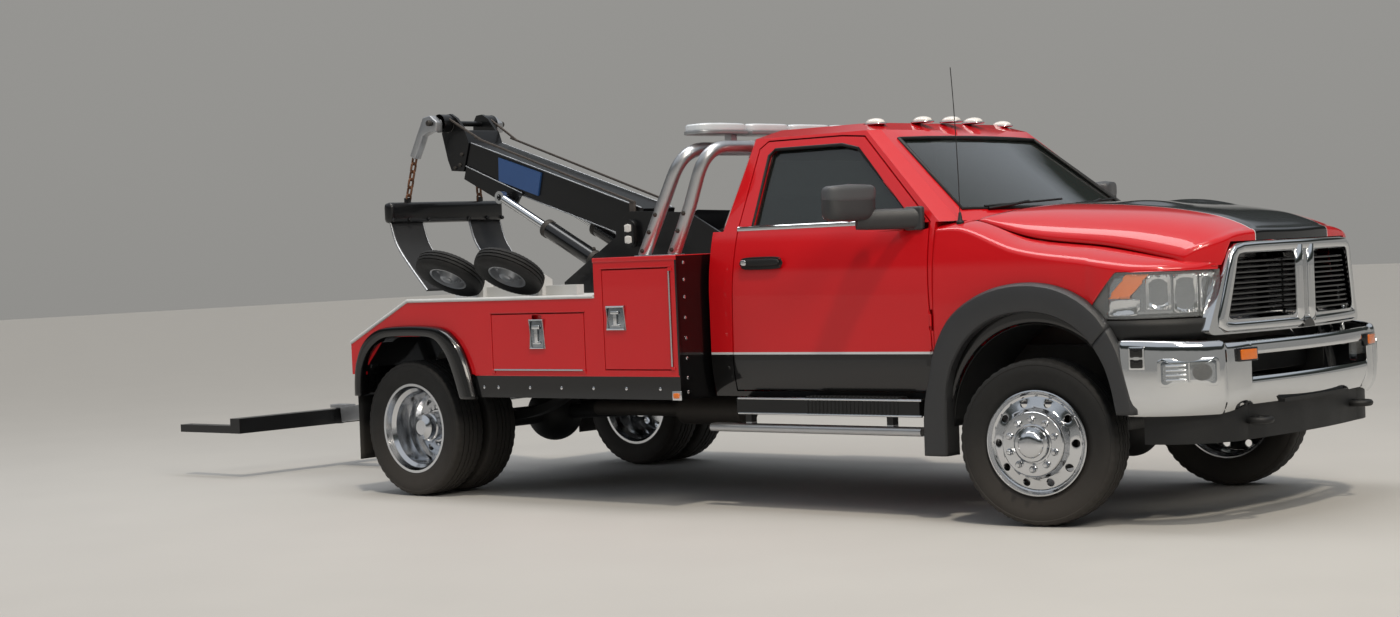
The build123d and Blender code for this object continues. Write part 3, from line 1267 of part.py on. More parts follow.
with BuildPart() as dolly_frames:
    for side in (-1, 1):
        block((-4400, -3350), (side * 640, side * 700), (deck_z + 0.3, deck_z + 60))
    for name, x, side in dolly_wheels:
        arm = [(side * 640, deck_z + 0.3), (side * 728, deck_z + 0.3), (side * 728, 1248), dolly_point(side, 58, 200),
               dolly_point(side, 58, -32), dolly_point(side, 100, -32), dolly_point(side, 100, 40),
               (side * 640, 1260)]
        front_prism(arm, (x - 32, x + 32))
        y, z = dolly_point(side, 100, 0)
        with BuildSketch(Plane(origin=(x, y, z), x_dir=(1, 0, 0), z_dir=(0, side * tilt_y, -tilt_z))):
            Circle(dolly_pin_radius)
        extrude(amount=128)
write(dolly_frames, "dolly_frames")
for name, x, side in dolly_wheels:
    axle = (0, side * tilt_y, -tilt_z)
    with BuildPart() as dolly_wheel:
        with BuildSketch(Plane(origin=(x, side * dolly_y, dolly_z), x_dir=axle, z_dir=(1, 0, 0))) as section:
            with BuildLine():
                Polyline(*dolly_outline, dolly_outline[0])
            make_face()
        revolve(section.sketch, axis=Axis((x, side * dolly_y, dolly_z), axle))
    write(dolly_wheel, f"dolly_wheel_{name}")
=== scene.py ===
from math import atan2, copysign, cos, exp, hypot, pi, radians, sin, sqrt, tan
import bmesh
import bpy
from mathutils import Matrix, Vector


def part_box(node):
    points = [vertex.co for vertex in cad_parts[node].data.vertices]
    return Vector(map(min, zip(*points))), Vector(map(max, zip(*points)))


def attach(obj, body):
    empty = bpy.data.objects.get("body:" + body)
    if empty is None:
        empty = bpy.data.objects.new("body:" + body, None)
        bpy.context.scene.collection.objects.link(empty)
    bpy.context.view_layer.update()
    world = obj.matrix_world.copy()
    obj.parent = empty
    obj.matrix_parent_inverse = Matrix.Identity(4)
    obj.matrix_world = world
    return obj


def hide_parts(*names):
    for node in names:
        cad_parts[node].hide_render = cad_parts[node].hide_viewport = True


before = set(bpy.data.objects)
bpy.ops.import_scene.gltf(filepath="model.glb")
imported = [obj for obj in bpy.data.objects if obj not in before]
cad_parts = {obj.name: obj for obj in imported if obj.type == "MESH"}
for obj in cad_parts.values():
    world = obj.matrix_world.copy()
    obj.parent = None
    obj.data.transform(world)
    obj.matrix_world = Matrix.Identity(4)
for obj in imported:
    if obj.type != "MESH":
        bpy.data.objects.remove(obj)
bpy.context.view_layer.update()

# Running gear: rails, crossmembers, axles and knuckles of rolled and forged steel under chassis enamel,
# and a bare cast engine block. They are the solids themselves, with their sharp edges broken.
FRONT_AXLE = 3.0025


def at(x, y, z):
    """A point in metres from millimetres ahead of the front axle, left of the middle and above ground."""
    return Vector((x / 1000 + FRONT_AXLE, y / 1000, z / 1000))


def colour(code):
    """A linear colour from an sRGB hex code."""
    parts = [int(code[i:i + 2], 16) / 255 for i in (1, 3, 5)]
    return [c / 12.92 if c < 0.04045 else ((c + 0.055) / 1.055) ** 2.4 for c in parts] + [1.0]


def add(tree, kind, inputs, **settings):
    """Add a node with its settings; an input is a number, a socket or a node whose first output it takes."""
    made = tree.nodes.new(kind)
    for key, value in settings.items():
        setattr(made, key, value)
    for key, value in inputs.items():
        if isinstance(value, bpy.types.Node):
            value = value.outputs[0]
        if isinstance(value, bpy.types.NodeSocket):
            tree.links.new(value, made.inputs[key])
        else:
            made.inputs[key].default_value = value
    return made


def surface(name, base, rough, metal=0.0, vary=0.12, blotch=250, bump=0.0, pit=3.3, **sockets):
    """A material whose tone and gloss vary over blotches, under a relief of pits, both sized in mm."""
    made = bpy.data.materials.new(name)
    made.use_nodes = True
    tree = made.node_tree
    shader = tree.nodes["Principled BSDF"]
    place = add(tree, "ShaderNodeTexCoord", {}).outputs["Object"]
    cloud = add(tree, "ShaderNodeTexNoise",
                {"Vector": place, "Scale": 1000 / blotch, "Detail": 6.0, "Roughness": 0.6})
    dark, light = ([min(1.0, c * share) for c in colour(base)[:3]] + [1.0] for share in (1 - vary, 1 + vary))
    tone = add(tree, "ShaderNodeMix", {0: cloud, 6: dark, 7: light}, data_type="RGBA")
    gloss = add(tree, "ShaderNodeMapRange", {0: cloud, 3: rough * 0.8, 4: min(1.0, rough * 1.25)})
    tree.links.new(tone.outputs[2], shader.inputs["Base Color"])
    tree.links.new(gloss.outputs[0], shader.inputs["Roughness"])
    shader.inputs["Metallic"].default_value = metal
    for key, value in sockets.items():
        shader.inputs[key.replace("_", " ")].default_value = value
    if bump:
        fine = add(tree, "ShaderNodeTexNoise", {"Vector": place, "Scale": 1000 / pit, "Detail": 3.0})
        relief = add(tree, "ShaderNodeBump", {"Height": fine, "Strength": bump, "Distance": 0.002})
        tree.links.new(relief.outputs[0], shader.inputs["Normal"])
    return made


def piece(name, form, material, body, stands_for=None, wall=0.0, grow=-1.0):
    """Put a form in the scene on a body; wall thickens a sheet, in metres, and stands_for names its node."""
    mesh = form
    if isinstance(form, bmesh.types.BMesh):
        mesh = bpy.data.meshes.new(name)
        bmesh.ops.recalc_face_normals(form, faces=form.faces)
        form.to_mesh(mesh)
        form.free()
        mesh.shade_smooth()
        mesh.set_sharp_from_angle(angle=radians(35))
    made = bpy.data.objects.new(name, mesh)
    bpy.context.scene.collection.objects.link(made)
    mesh.materials.append(material)
    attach(made, body)
    if wall:
        thickness = made.modifiers.new("thickness", "SOLIDIFY")
        thickness.thickness = wall
        thickness.offset = grow
    if stands_for:
        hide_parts(stands_for)
    return made


def reworked(node, name, body, material, edge, segments=2, least=30, drop=None, keep=None, shape=None):
    """A copy of a node with edges over least degrees rounded by edge mm; drop() leaves faces out.

    shape() takes a point's millimetres to where it goes.
    """
    bm = bmesh.new()
    bm.from_mesh(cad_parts[node].data)
    bmesh.ops.remove_doubles(bm, verts=bm.verts, dist=0.00005)
    if drop:
        gone = [f for f in bm.faces if drop(f.calc_center_median())]
        bmesh.ops.delete(bm, geom=gone, context="FACES")
    bmesh.ops.dissolve_limit(bm, angle_limit=radians(1.5), verts=bm.verts, edges=bm.edges)
    edges = [e for e in bm.edges if e.is_manifold and e.calc_face_angle(0) > radians(least) and
             (keep is None or keep(e))]
    bmesh.ops.bevel(bm, geom=edges, offset=edge / 1000, segments=segments, profile=0.5, affect="EDGES",
                    clamp_overlap=True, loop_slide=True)
    if shape:
        for v in bm.verts:
            v.co = at(*shape((v.co.x - FRONT_AXLE) * 1000, v.co.y * 1000, v.co.z * 1000))
    mesh = bpy.data.meshes.new(name)
    bm.to_mesh(mesh)
    bm.free()
    mesh.shade_smooth()
    mesh.set_sharp_from_angle(angle=radians(32))
    made = piece(name, mesh, material, body)
    made.modifiers.new("even", "WEIGHTED_NORMAL").keep_sharp = True
    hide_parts(node)


# Chassis enamel over rolled steel: dull black with a broad greying. Cast iron: rough, bare and blotched.
frame_paint = surface("chassis_enamel", "#0E0F10", 0.6, vary=0.35, blotch=143, bump=0.2, pit=6.25)
cast_iron = surface("cast_iron", "#4A4744", 0.62, metal=0.75, vary=0.3, blotch=56, bump=0.5, pit=4.2)
GEAR = (
    # node, body, edge
    ("frame_rails", "truck", 4), ("crossmembers", "truck", 3), ("front_axle", "truck", 3),
    ("rear_axle", "truck", 4), ("knuckle_right", "steering_right", 3), ("knuckle_left", "steering_left", 3),
)
for node, body, edge in GEAR:
    reworked(node, node + "_rounded", body, frame_paint, edge)
reworked("engine", "engine_rounded", "truck", cast_iron, 4)


# Tyres: moulded rubber with bead and shoulder rings, ribs with zigzag grooves and shoulder lugs,
# one in front and a pair behind on each side. The rubber is matt black with road dust towards the ground.
def repaint(material, factor, code):
    """Lay another colour over a material where the factor is 1."""
    tree = material.node_tree
    base = tree.nodes["Principled BSDF"].inputs["Base Color"]
    over = add(tree, "ShaderNodeMix", {0: factor, 6: base.links[0].from_socket, 7: colour(code)},
               data_type="RGBA")
    tree.links.new(over.outputs[2], base)


def dusted(material, code, clean, dirty, most):
    """Lay dust over a material, from none at one height in metres to the most at a lower one."""
    tree = material.node_tree
    place = add(tree, "ShaderNodeSeparateXYZ", {0: add(tree, "ShaderNodeTexCoord", {}).outputs["Object"]})
    share = add(tree, "ShaderNodeMapRange", {0: place.outputs[2], 1: clean, 2: dirty, 4: most})
    repaint(material, share, code)


def skin(bm, rows, around=False, loop=False, caps=False):
    """Add faces over rows of points and return their corners.

    around closes each row, loop joins the last row to the first, and caps fill the two ends.
    """
    grid = [[bm.verts.new(p) for p in row] for row in rows]
    for a, b in zip(grid, grid[1:] + grid[:1] if loop else grid[1:]):
        for i in range(max(len(a), len(b)) - (0 if around else 1)):
            n = i + 1
            corners = (a[i % len(a)], a[n % len(a)], b[n % len(b)], b[i % len(b)])
            bm.faces.new(list(dict.fromkeys(corners)))
    if caps:
        bm.faces.new(grid[0][::-1])
        bm.faces.new(grid[-1])
    return grid


def tyre(bm, half_outline, centre, axle, forward, count, depth, wave=0.0):
    """Add a tyre from half its outline, (mm from its middle, radius); depth(k, w, r) cuts its tread."""
    up = forward.cross(axle)
    rows = []
    mirrored = [(-w, r) for w, r in reversed(half_outline[:-1])]
    for w, r in half_outline + mirrored:
        row = []
        for k in range(count):
            angle = 2 * pi * k / count
            shift = wave * sin(angle * 48) if abs(w) < 60 and r < 395 else 0.0
            reach = (r - depth(k, abs(w), r)) / 1000
            outward = cos(angle) * forward + sin(angle) * up
            row.append(centre + axle * ((w + shift) / 1000) + reach * outward)
        rows.append(row)
    skin(bm, rows, around=True, loop=True)


def lugs(k, w, r):
    """The depth of the tread's cuts: 4.5 mm between shoulder lugs and 3 mm sipes on the ribs."""
    if k % 3:
        return 0.0
    if 60 < w < 106 and r > 385:
        return 4.5
    return 3.0 if w < 60 and r > 395 else 0.0


rubber = surface("tyre_rubber", "#111111", 0.74, vary=0.25, blotch=111, bump=0.35, pit=2.4)
dusted(rubber, "#6A625A", 0.5, 0.02, 0.25)
both_sides = ((-1, "right"), (1, "left"))
UP = Vector((0, 0, 1))
TYRE_HALF = [(84, 252), (88, 262), (94, 272), (100, 284), (101, 288), (104, 300), (108, 318), (111.5, 338),
             (111.5, 352), (109, 366), (106.5, 374), (108, 377), (105, 388), (98, 396), (86, 399.5),
             (62, 402.5), (57, 402.5), (55, 391), (49, 391), (47, 403), (22, 404), (19, 404), (17, 391),
             (11, 391), (9, 404), (0, 404.5)]
STEERED = radians(11)
wheels = {}
for side, word in both_sides:
    low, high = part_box("tyre_front_" + word)
    centre = (low + high) / 2
    centre.z = 0.405
    axle = Vector((-sin(STEERED), cos(STEERED), 0)) * side
    wheels["front_" + word] = (centre, axle)
    bm = bmesh.new()
    tyre(bm, TYRE_HALF, centre, axle, axle.cross(UP).normalized(), 144, lugs, wave=2.2)
    piece("tyre_tread_front_" + word, bm, rubber, "wheel_front_" + word, "tyre_front_" + word)
    axle = Vector((0, side, 0))
    wheels["rear_" + word] = (at(-4280, side * 963.5, 405), axle)
    bm = bmesh.new()
    for y in (1097, 830):
        tyre(bm, TYRE_HALF, at(-4280, side * y, 405), axle, axle.cross(UP), 144, lugs, wave=2.2)
    piece("tyre_tread_rear_" + word, bm, rubber, "wheels_rear_" + word, "tyres_rear_" + word)


# Rims and wheel trim: forged aluminium, polished. In front a rolled lip, a barrel and a disc that cones
# outward from ten hand holes; lug nuts with flanges and stepped hub caps stand on all four.
def ring(centre, across, up, radius, sides, flat=1.0):
    """Points on a circle, flattened along its up way by a factor."""
    return [centre + radius * (cos(2 * pi * k / sides) * across + flat * sin(2 * pi * k / sides) * up)
            for k in range(sides)]


def turned(bm, outline, centre, axis, sides=24):
    """Add a solid turned about an axis, from (distance along it, radius) points in metres."""
    across = axis.cross(UP)
    if across.length < 0.05:
        across = axis.cross(Vector((1, 0, 0)))
    across.normalize()
    up = axis.cross(across)
    skin(bm, [ring(centre + axis * along, across, up, radius, sides if radius else 1)
              for along, radius in outline], around=True)


def holed_band(bm, spot, r0, r1, w0, w1, hole, count=10, rim_points=24):
    """Add a band between two radii with round holes; spot(r, angle, w) places a point."""
    half = pi / count
    middle = (r0 + r1) / 2
    for k in range(count):
        rows = []
        for grow, back in ((1.0, 0.0), (0.5, 0.0), (0.12, 0.0), (0.0, -0.001), (0.0, -0.016)):
            row = []
            for i in range(rim_points):
                a = 2 * pi * i / rim_points
                box = 1 / max(abs(cos(a)), abs(sin(a)))
                hole_u, hole_v = cos(a) * hole / (half * middle), sin(a) * hole / ((r1 - r0) / 2)
                u = hole_u + (cos(a) * box - hole_u) * grow
                v = hole_v + (sin(a) * box - hole_v) * grow
                r = middle + v * (r1 - r0) / 2
                w = w1 + (w0 - w1) * (r - r0) / (r1 - r0) + back
                row.append(spot(r, 2 * pi * k / count + u * half, w))
            rows.append(row)
        skin(bm, rows, around=True)


def dress(material, *nodes):
    """Give whole CAD nodes one material."""
    for name in nodes:
        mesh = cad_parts[name].data
        mesh.materials.clear()
        mesh.materials.append(material)


# Polished aluminium: mirror bright, with the faintest pits left by the wheel.
polished = surface("polished_aluminium", "#D3D5D8", 0.14, metal=1.0, vary=0.05, blotch=83, bump=0.05, pit=2)
dress(polished, "rims_rear_left", "rims_rear_right")
RIM_LIP = [(-0.100, 0.254), (-0.106, 0.252), (-0.106, 0.245), (-0.096, 0.238), (-0.060, 0.228),
           (0.040, 0.222), (0.086, 0.230), (0.094, 0.238), (0.104, 0.245), (0.109, 0.250), (0.107, 0.2555),
           (0.100, 0.256)]
RIM_CONE = [(0.106, 0.172), (0.120, 0.1655), (0.138, 0.1600), (0.148, 0.1570), (0.153, 0.1520),
            (0.154, 0.1460), (0.154, 0.0850)]
FRONT_HUB = ([(0.154, 0.099), (0.160, 0.097), (0.162, 0.092)],
             [(0.150, 0.0868), (0.166, 0.0862), (0.173, 0.082), (0.176, 0.072), (0.178, 0.066),
              (0.186, 0.062), (0.194, 0.054), (0.199, 0.040), (0.2015, 0.022), (0.202, 0.0)])
REAR_HUB = ([(0.034, 0.0865), (0.108, 0.0850), (0.114, 0.076), (0.150, 0.0725), (0.156, 0.060),
             (0.170, 0.044), (0.1705, 0.0)], [(0.012, 0.158), (0.016, 0.150), (0.016, 0.128), (0.012, 0.126)])
for side, word in both_sides:
    centre, axle = wheels["front_" + word]
    forward = axle.cross(UP).normalized()
    bm = bmesh.new()
    turned(bm, RIM_LIP, centre, axle, 120)
    turned(bm, [(0.094, 0.2385), (0.089, 0.232), (0.088, 0.224)], centre, axle, 120)
    holed_band(bm, lambda r, angle, w: centre + axle * w + r * (cos(angle) * forward + sin(angle) * UP),
               0.172, 0.224, 0.088, 0.106, 0.0195)
    turned(bm, RIM_CONE, centre, axle, 120)
    bmesh.ops.remove_doubles(bm, verts=bm.verts, dist=0.0003)
    piece("rim_bright_front_" + word, bm, polished, "wheel_front_" + word, "rim_front_" + word)
    for end, body, nut_circle, face, hub in (("front_", "wheel_front_", 0.120, 0.154, FRONT_HUB),
                                             ("rear_", "wheels_rear_", 0.112, 0.012, REAR_HUB)):
        centre, axle = wheels[end + word]
        forward = axle.cross(UP).normalized()
        bm = bmesh.new()
        for k in range(10):
            angle = 2 * pi * (k + 0.5) / 10
            spot = centre + nut_circle * (cos(angle) * forward + sin(angle) * UP)
            turned(bm, [(face, 0.019), (face + 0.004, 0.019), (face + 0.006, 0.0165)], spot, axle, 20)
            turned(bm, [(face + 0.004, 0.0155), (face + 0.022, 0.0150), (face + 0.028, 0.010),
                        (face + 0.029, 0.0)], spot, axle, 6)
        for outline in hub:
            turned(bm, outline, centre, axle, 56)
        piece("wheel_trim_" + end + word, bm, polished, body + word)


# Cab and doors: pressed steel with rounded roof edges, in red two-coat enamel. A silver line runs along
# the lower body, and it is black below the line. The doors leave out the solids' mirrors and handles.
def enamel(name, rough=0.34, coat=0.03):
    """Red enamel under clear coat: a soft red body with sharp reflections on top."""
    return surface(name, "#C40A14", rough, vary=0.05, blotch=500, Coat_Weight=1.0, Coat_Roughness=coat,
                   Specular_IOR_Level=0.2)


def painted(material, code, **limits):
    """Paint the part of a surface between limits in metres: x, z, or y counted from the middle."""
    tree = material.node_tree
    place = add(tree, "ShaderNodeSeparateXYZ", {0: add(tree, "ShaderNodeTexCoord", {}).outputs["Object"]})
    inside = 1.0
    for way, (low, high) in limits.items():
        spot = place.outputs["xyz".index(way)]
        if way == "y":
            spot = add(tree, "ShaderNodeMath", {0: spot}, operation="ABSOLUTE")
        test = add(tree, "ShaderNodeMath", {0: spot, 1: (low + high) / 2, 2: (high - low) / 2},
                   operation="COMPARE")
        inside = add(tree, "ShaderNodeMath", {0: test, 1: inside}, operation="MULTIPLY")
    repaint(material, inside, code)


sill_red = enamel("red_enamel_black_sill")
painted(sill_red, "#060607", y=(0.90, 2), z=(-1, 0.834))
painted(sill_red, "#C9CBCD", y=(0.90, 2), z=(0.830, 0.842))
# Gloss black enamel on the cowl: a thin coat that mirrors softly.
gloss_black = surface("gloss_black", "#050506", 0.24, vary=0.2, blotch=333, Specular_IOR_Level=0.3,
                      Coat_Weight=0.8, Coat_Roughness=0.05)
reworked("cab_shell", "cab_skin", "truck", sill_red, 14, segments=3, least=14)
reworked("cowl", "cowl_rounded", "truck", gloss_black, 3)
for side, word in both_sides:
    reworked("door_" + word, "door_skin_" + word, "cab_door_" + word, sill_red, 5, least=14,
             drop=lambda c: abs(c.y) > 0.992 or (abs(c.y) > 0.928 and 2.2 < c.x < 2.37 and
                                                 1.451 < c.z < 1.57))


# Seat and dashboard: foam pads under ribbed cloth with sewn channels, which a cloth simulation blows out
# between pinned seams, on a moulded plinth. The dashboard is the solid with its edges rounded.
def slab(bm, low, high, bevel=0.0):
    """Add a box between two corners, with rounded edges."""
    made = bmesh.ops.create_cube(bm, size=1.0)["verts"]
    size, middle = high - low, (high + low) / 2
    for v in made:
        v.co = v.co * size + middle
    edges = list({e for v in made for e in v.link_edges})
    bmesh.ops.bevel(bm, geom=edges, offset=bevel, segments=3, profile=0.5, affect="EDGES")


def blown(name, place, half, channels, cap, stands_for=None):
    """A pad pressed out from its pinned seams by at most cap mm; place() takes its (a, b, c) to the cab."""
    bm = bmesh.new()
    slab(bm, Vector(half) * -0.001, Vector(half) * 0.001, bevel=0.022)
    mesh = bpy.data.meshes.new(name)
    bm.to_mesh(mesh)
    bm.free()
    work = bpy.data.objects.new(name + "_work", mesh)
    bpy.context.scene.collection.objects.link(work)
    voxels = work.modifiers.new("voxels", "REMESH")
    voxels.mode = "VOXEL"
    voxels.voxel_size = 0.013
    start = bpy.data.meshes.new_from_object(work.evaluated_get(bpy.context.evaluated_depsgraph_get()))
    work.modifiers.clear()
    work.data = start
    before = [v.co.copy() for v in start.vertices]
    held = work.vertex_groups.new(name="held")
    for i, point in enumerate(before):
        sewn = any(abs(point.y * 1000 - b) < 7 for b in channels) and point.z > 0
        if sewn or point.z < -half[2] * 0.00086:
            held.add([i], 1.0, "REPLACE")
    cover = work.modifiers.new("cover", "CLOTH").settings
    cover.quality = 4
    cover.mass = 0.3
    cover.use_pressure = True
    cover.uniform_pressure_force = 4.0
    cover.effector_weights.gravity = 0.0
    cover.vertex_group_mass = "held"
    for step in range(1, 21):
        bpy.context.scene.frame_set(step)
    after = bpy.data.meshes.new_from_object(work.evaluated_get(bpy.context.evaluated_depsgraph_get()))
    work.modifiers.clear()
    bpy.context.scene.frame_set(1)
    shaped = start.copy()
    for vertex, old, moved in zip(shaped.vertices, before, after.vertices):
        swell = moved.co - old
        if swell.length > cap / 1000:
            swell = swell.normalized() * cap / 1000
        spot = (old + swell) * 1000
        for b in channels:
            gap = (spot.y - b) / 9
            if spot.z > 0 and abs(gap) < 3:
                spot.z -= 7 * exp(-gap * gap)
        vertex.co = place(*spot)
    bpy.data.objects.remove(work)
    shaped.shade_smooth()
    made = piece(name, shaped, seat_cloth, "truck", stands_for)
    made.modifiers.new("finer", "SUBSURF").render_levels = 1


# Ribbed seat cloth: dull with a soft sheen. Its ribs are drawn 5 mm apart, coarser than they are, to show.
seat_cloth = surface("seat_cloth", "#4A4743", 0.9, vary=0.15, blotch=33, Sheen_Weight=0.4)
tree = seat_cloth.node_tree
ribs = add(tree, "ShaderNodeTexWave", {"Vector": add(tree, "ShaderNodeTexCoord", {}).outputs["Object"],
                                       "Scale": 60.0, "Distortion": 0.6, "Detail": 2.0})
raised = add(tree, "ShaderNodeBump", {"Height": ribs.outputs[1], "Strength": 0.4, "Distance": 0.002})
tree.links.new(raised.outputs[0], tree.nodes["Principled BSDF"].inputs["Normal"])
# Grained polypropylene of the cabin: matt and warm grey.
cabin = surface("cabin_plastic", "#34312E", 0.6, blotch=167, bump=0.4, pit=0.83)
lean = atan2(130, 530)
CHANNELS = (-520, -245, -120, 120, 245, 520)
blown("seat_cushion", lambda a, b, c: at(-1585 + a, b, 1105 + c), (235, 735, 62), CHANNELS, 14,
      "bench_seat")
blown("seat_back",
      lambda a, b, c: at(-1815 - a * sin(lean) + c * cos(lean), b, 1440 + a * cos(lean) + c * sin(lean)),
      (235, 735, 48), CHANNELS, 12)
bm = bmesh.new()
slab(bm, at(-1860, -740, 760), at(-1360, 740, 1050), bevel=0.02)
slab(bm, at(-1898, -745, 1050), at(-1840, 745, 1180), bevel=0.012)
piece("seat_plinth", bm, cabin, "truck")
reworked("dashboard", "dash", "truck", cabin, 6)


# Windows: tinted sheet glass in rubber seals, with a bright strip at the door's belt, the windscreen's
# surround with two wipers at rest, and the whip antenna in its turned base.
def tube(bm, points, radius, sides=10, closed=False, flat=1.0):
    """Add a round bar along a line of points, flattened upwards by a factor."""
    rows = []
    for i, point in enumerate(points):
        before = points[i - 1] if closed or i else point
        after = points[(i + 1) % len(points)] if closed or i < len(points) - 1 else point
        along = (after - before).normalized()
        across = along.cross(UP)
        if across.length < 0.05:
            across = along.cross(Vector((0, 1, 0)))
        across.normalize()
        rows.append(ring(point, across, across.cross(along), radius, sides, flat))
    skin(bm, rows, around=True, loop=closed, caps=not closed)


def on_door(side, x, z, out=0.0):
    """A point on the upper door's slanted face."""
    return at(x, side * (930 - 188 * (z - 1490) / 495 + out), z)


def on_screen(y, z, out=0.0):
    """A point on the bowed, raked windscreen's face."""
    t = (z - 1490) / 495
    corner_x, corner_y, middle = -500 - 595 * t, 855 - 175 * t, -310 - 752 * t
    return at(corner_x + (middle - corner_x) * (1 - (y / corner_y) ** 2) + out, y, z + out * 0.6)


# Tinted glass: dark, dead smooth, and clear enough to see the seat. Moulded black plastic and rubber: matt.
# Chrome plate on the trim: the brightest mirror of all.
glass = surface("tinted_glass", "#1A211F", 0.03, vary=0.04, blotch=1000, Coat_Weight=1.0, Coat_Roughness=0.01,
                IOR=1.5, Alpha=0.72)
moulded = surface("moulded_plastic", "#0D0E0F", 0.5, blotch=167, bump=0.35, pit=0.71)
chrome = surface("chrome_plate", "#D9DBDD", 0.07, metal=1.0, vary=0.03, blotch=111)
dress(glass, "cab_glass", "door_glass_left", "door_glass_right")
PANE = [(-742, 1508), (-1178, 1893), (-1290, 1919), (-1744, 1919), (-1779, 1889), (-1799, 1508)]
for side, word in both_sides:
    bm = bmesh.new()
    tube(bm, [on_door(side, x, z, -3) for x, z in PANE], 0.009, sides=8, closed=True)
    piece("window_seal_" + word, bm, moulded, "cab_door_" + word)
    bm = bmesh.new()
    tube(bm, [on_door(side, x, 1499, 1) for x in (-1895, -1500, -1100, -745)], 0.006, sides=8, flat=2.2)
    piece("belt_strip_" + word, bm, chrome, "cab_door_" + word)
SCREEN = [(-765, 1548), (-698, 1740), (-630, 1932), (-420, 1936), (-210, 1938), (0, 1939), (210, 1938),
          (420, 1936), (630, 1932), (698, 1740), (765, 1548), (510, 1545), (255, 1543), (0, 1542),
          (-255, 1543), (-510, 1545)]
bm = bmesh.new()
tube(bm, [on_screen(y, z, 3) for y, z in SCREEN], 0.011, sides=8, closed=True)
for y, reach in ((-640, 620), (60, 630)):
    tube(bm, [on_screen(y + reach * t, 1552 + 26 * t, 13) for t in (0, 0.25, 0.5, 0.75, 1)], 0.006, sides=6)
    tube(bm, [on_screen(y + reach * t, z, out) for t, z, out in ((0.02, 1542, 10), (0.25, 1548, 24),
                                                                 (0.5, 1566, 20))], 0.008, sides=6)
piece("screen_trim", bm, moulded, "truck")
bm = bmesh.new()
foot = at(-478, -878, 1478)
turned(bm, [(-0.012, 0.02), (0.006, 0.02), (0.016, 0.012), (0.05, 0.007), (0.06, 0.0)], foot, UP, 16)
tube(bm, [foot + Vector((-0.0002 * k * k, 0, 0.05 + 0.066 * k)) for k in range(12)], 0.0022, sides=8)
piece("antenna", bm, frame_paint, "truck")


# Towing mirrors and handles: moulded heads on a swept arm with a paler grey shell over their upper half,
# a painted highlight, their glass facing back, and black pulls over shallow cups with a chrome key plate.
def cushion(bm, place, half, power=4.0, count=20, levels=12):
    """Add a closed form with soft corners; place() takes (a, b, c) in millimetres to its point."""
    rows = []
    for k in range(levels + 1):
        t = -1 + 2 * k / levels
        shrink = max(0.02, (1 - abs(t) ** power) ** (1 / power))
        row = []
        for j in range(count):
            c, s = cos(2 * pi * j / count), sin(2 * pi * j / count)
            r = shrink / (abs(c) ** power + abs(s) ** power) ** (1 / power)
            row.append(place(half[0] * r * c, half[1] * r * s, half[2] * t))
        rows.append(row)
    skin(bm, rows, around=True, caps=True)


# Flare plastic: satin dark grey that has lost its oils. The mirror tops are a paler grey, a painted highlight
# where light falls on them, and the glass is silvered.
flare_grey = surface("flare_plastic_worn", "#2C2D2F", 0.45, vary=0.1, blotch=200, bump=0.35, pit=0.67,
                     Specular_IOR_Level=0.6)
top_highlight_grey = surface("mirror_top_highlight_plastic", "#4B4D50", 0.42, vary=0.08, blotch=167, bump=0.25, pit=0.67)
mirror_glass = surface("mirror_glass", "#C8CED2", 0.02, metal=1.0, vary=0.02, blotch=333)
TURN = radians(-22)
ARM = ((-690, 938, 1512), (-740, 980, 1512), (-815, 1066, 1513), (-870, 1126, 1515), (-905, 1168, 1518))


def in_head(side, a, b, c):
    """A point of the mirror's head: a through its depth, b along its width, c upwards."""
    y = 1202 - a * sin(TURN) - b * cos(TURN)
    return at(-925 + a * cos(TURN) - b * sin(TURN), side * y, 1600 + c)


for side, word in both_sides:
    body = "cab_door_" + word
    bm = bmesh.new()
    cushion(bm, lambda a, b, c: in_head(side, a * (1 - 0.12 * c / 95), b, c), (57, 139, 94), 4.5, 36, 20)
    tube(bm, [at(x, side * y, z) for x, y, z in ARM], 0.030, sides=20, flat=1.75)
    slab(bm, at(-768, side * 942 - 18, 1452), at(-655, side * 942 + 18, 1572), bevel=0.014)
    piece("mirror_" + word, bm, flare_grey, body)
    # A paler grey shell over the head's upper half: a painted highlight on the mirror's top.
    bm = bmesh.new()
    cushion(bm, lambda a, b, c: in_head(side, a + 6, b, c + 46), (54, 142, 50), 4.0, 36, 14)
    piece("mirror_top_highlight_" + word, bm, top_highlight_grey, body)
    bm = bmesh.new()
    cushion(bm, lambda a, b, c: in_head(side, a - 53, b, c - 4), (6, 122, 82), 7.0, 36, 12)
    piece("mirror_glass_" + word, bm, mirror_glass, body)
    bm = bmesh.new()
    cushion(bm, lambda a, b, c: at(-1695 + c, side * (1000 + a * (1 - 0.2 * (c / 140) ** 2)), 1318 + b),
            (11, 19, 138), 3.5, 20, 24)
    cushion(bm, lambda a, b, c: at(-1695 + c, side * (986 + a), 1314 + b), (4, 34, 150), 4.0, 24, 20)
    piece("handle_" + word, bm, moulded, body)
    bm = bmesh.new()
    cushion(bm, lambda a, b, c: at(-1800 + c, side * (1008 + a), 1318 + b), (5, 15, 22), 3.0, 20, 10)
    piece("handle_key_" + word, bm, chrome, body)


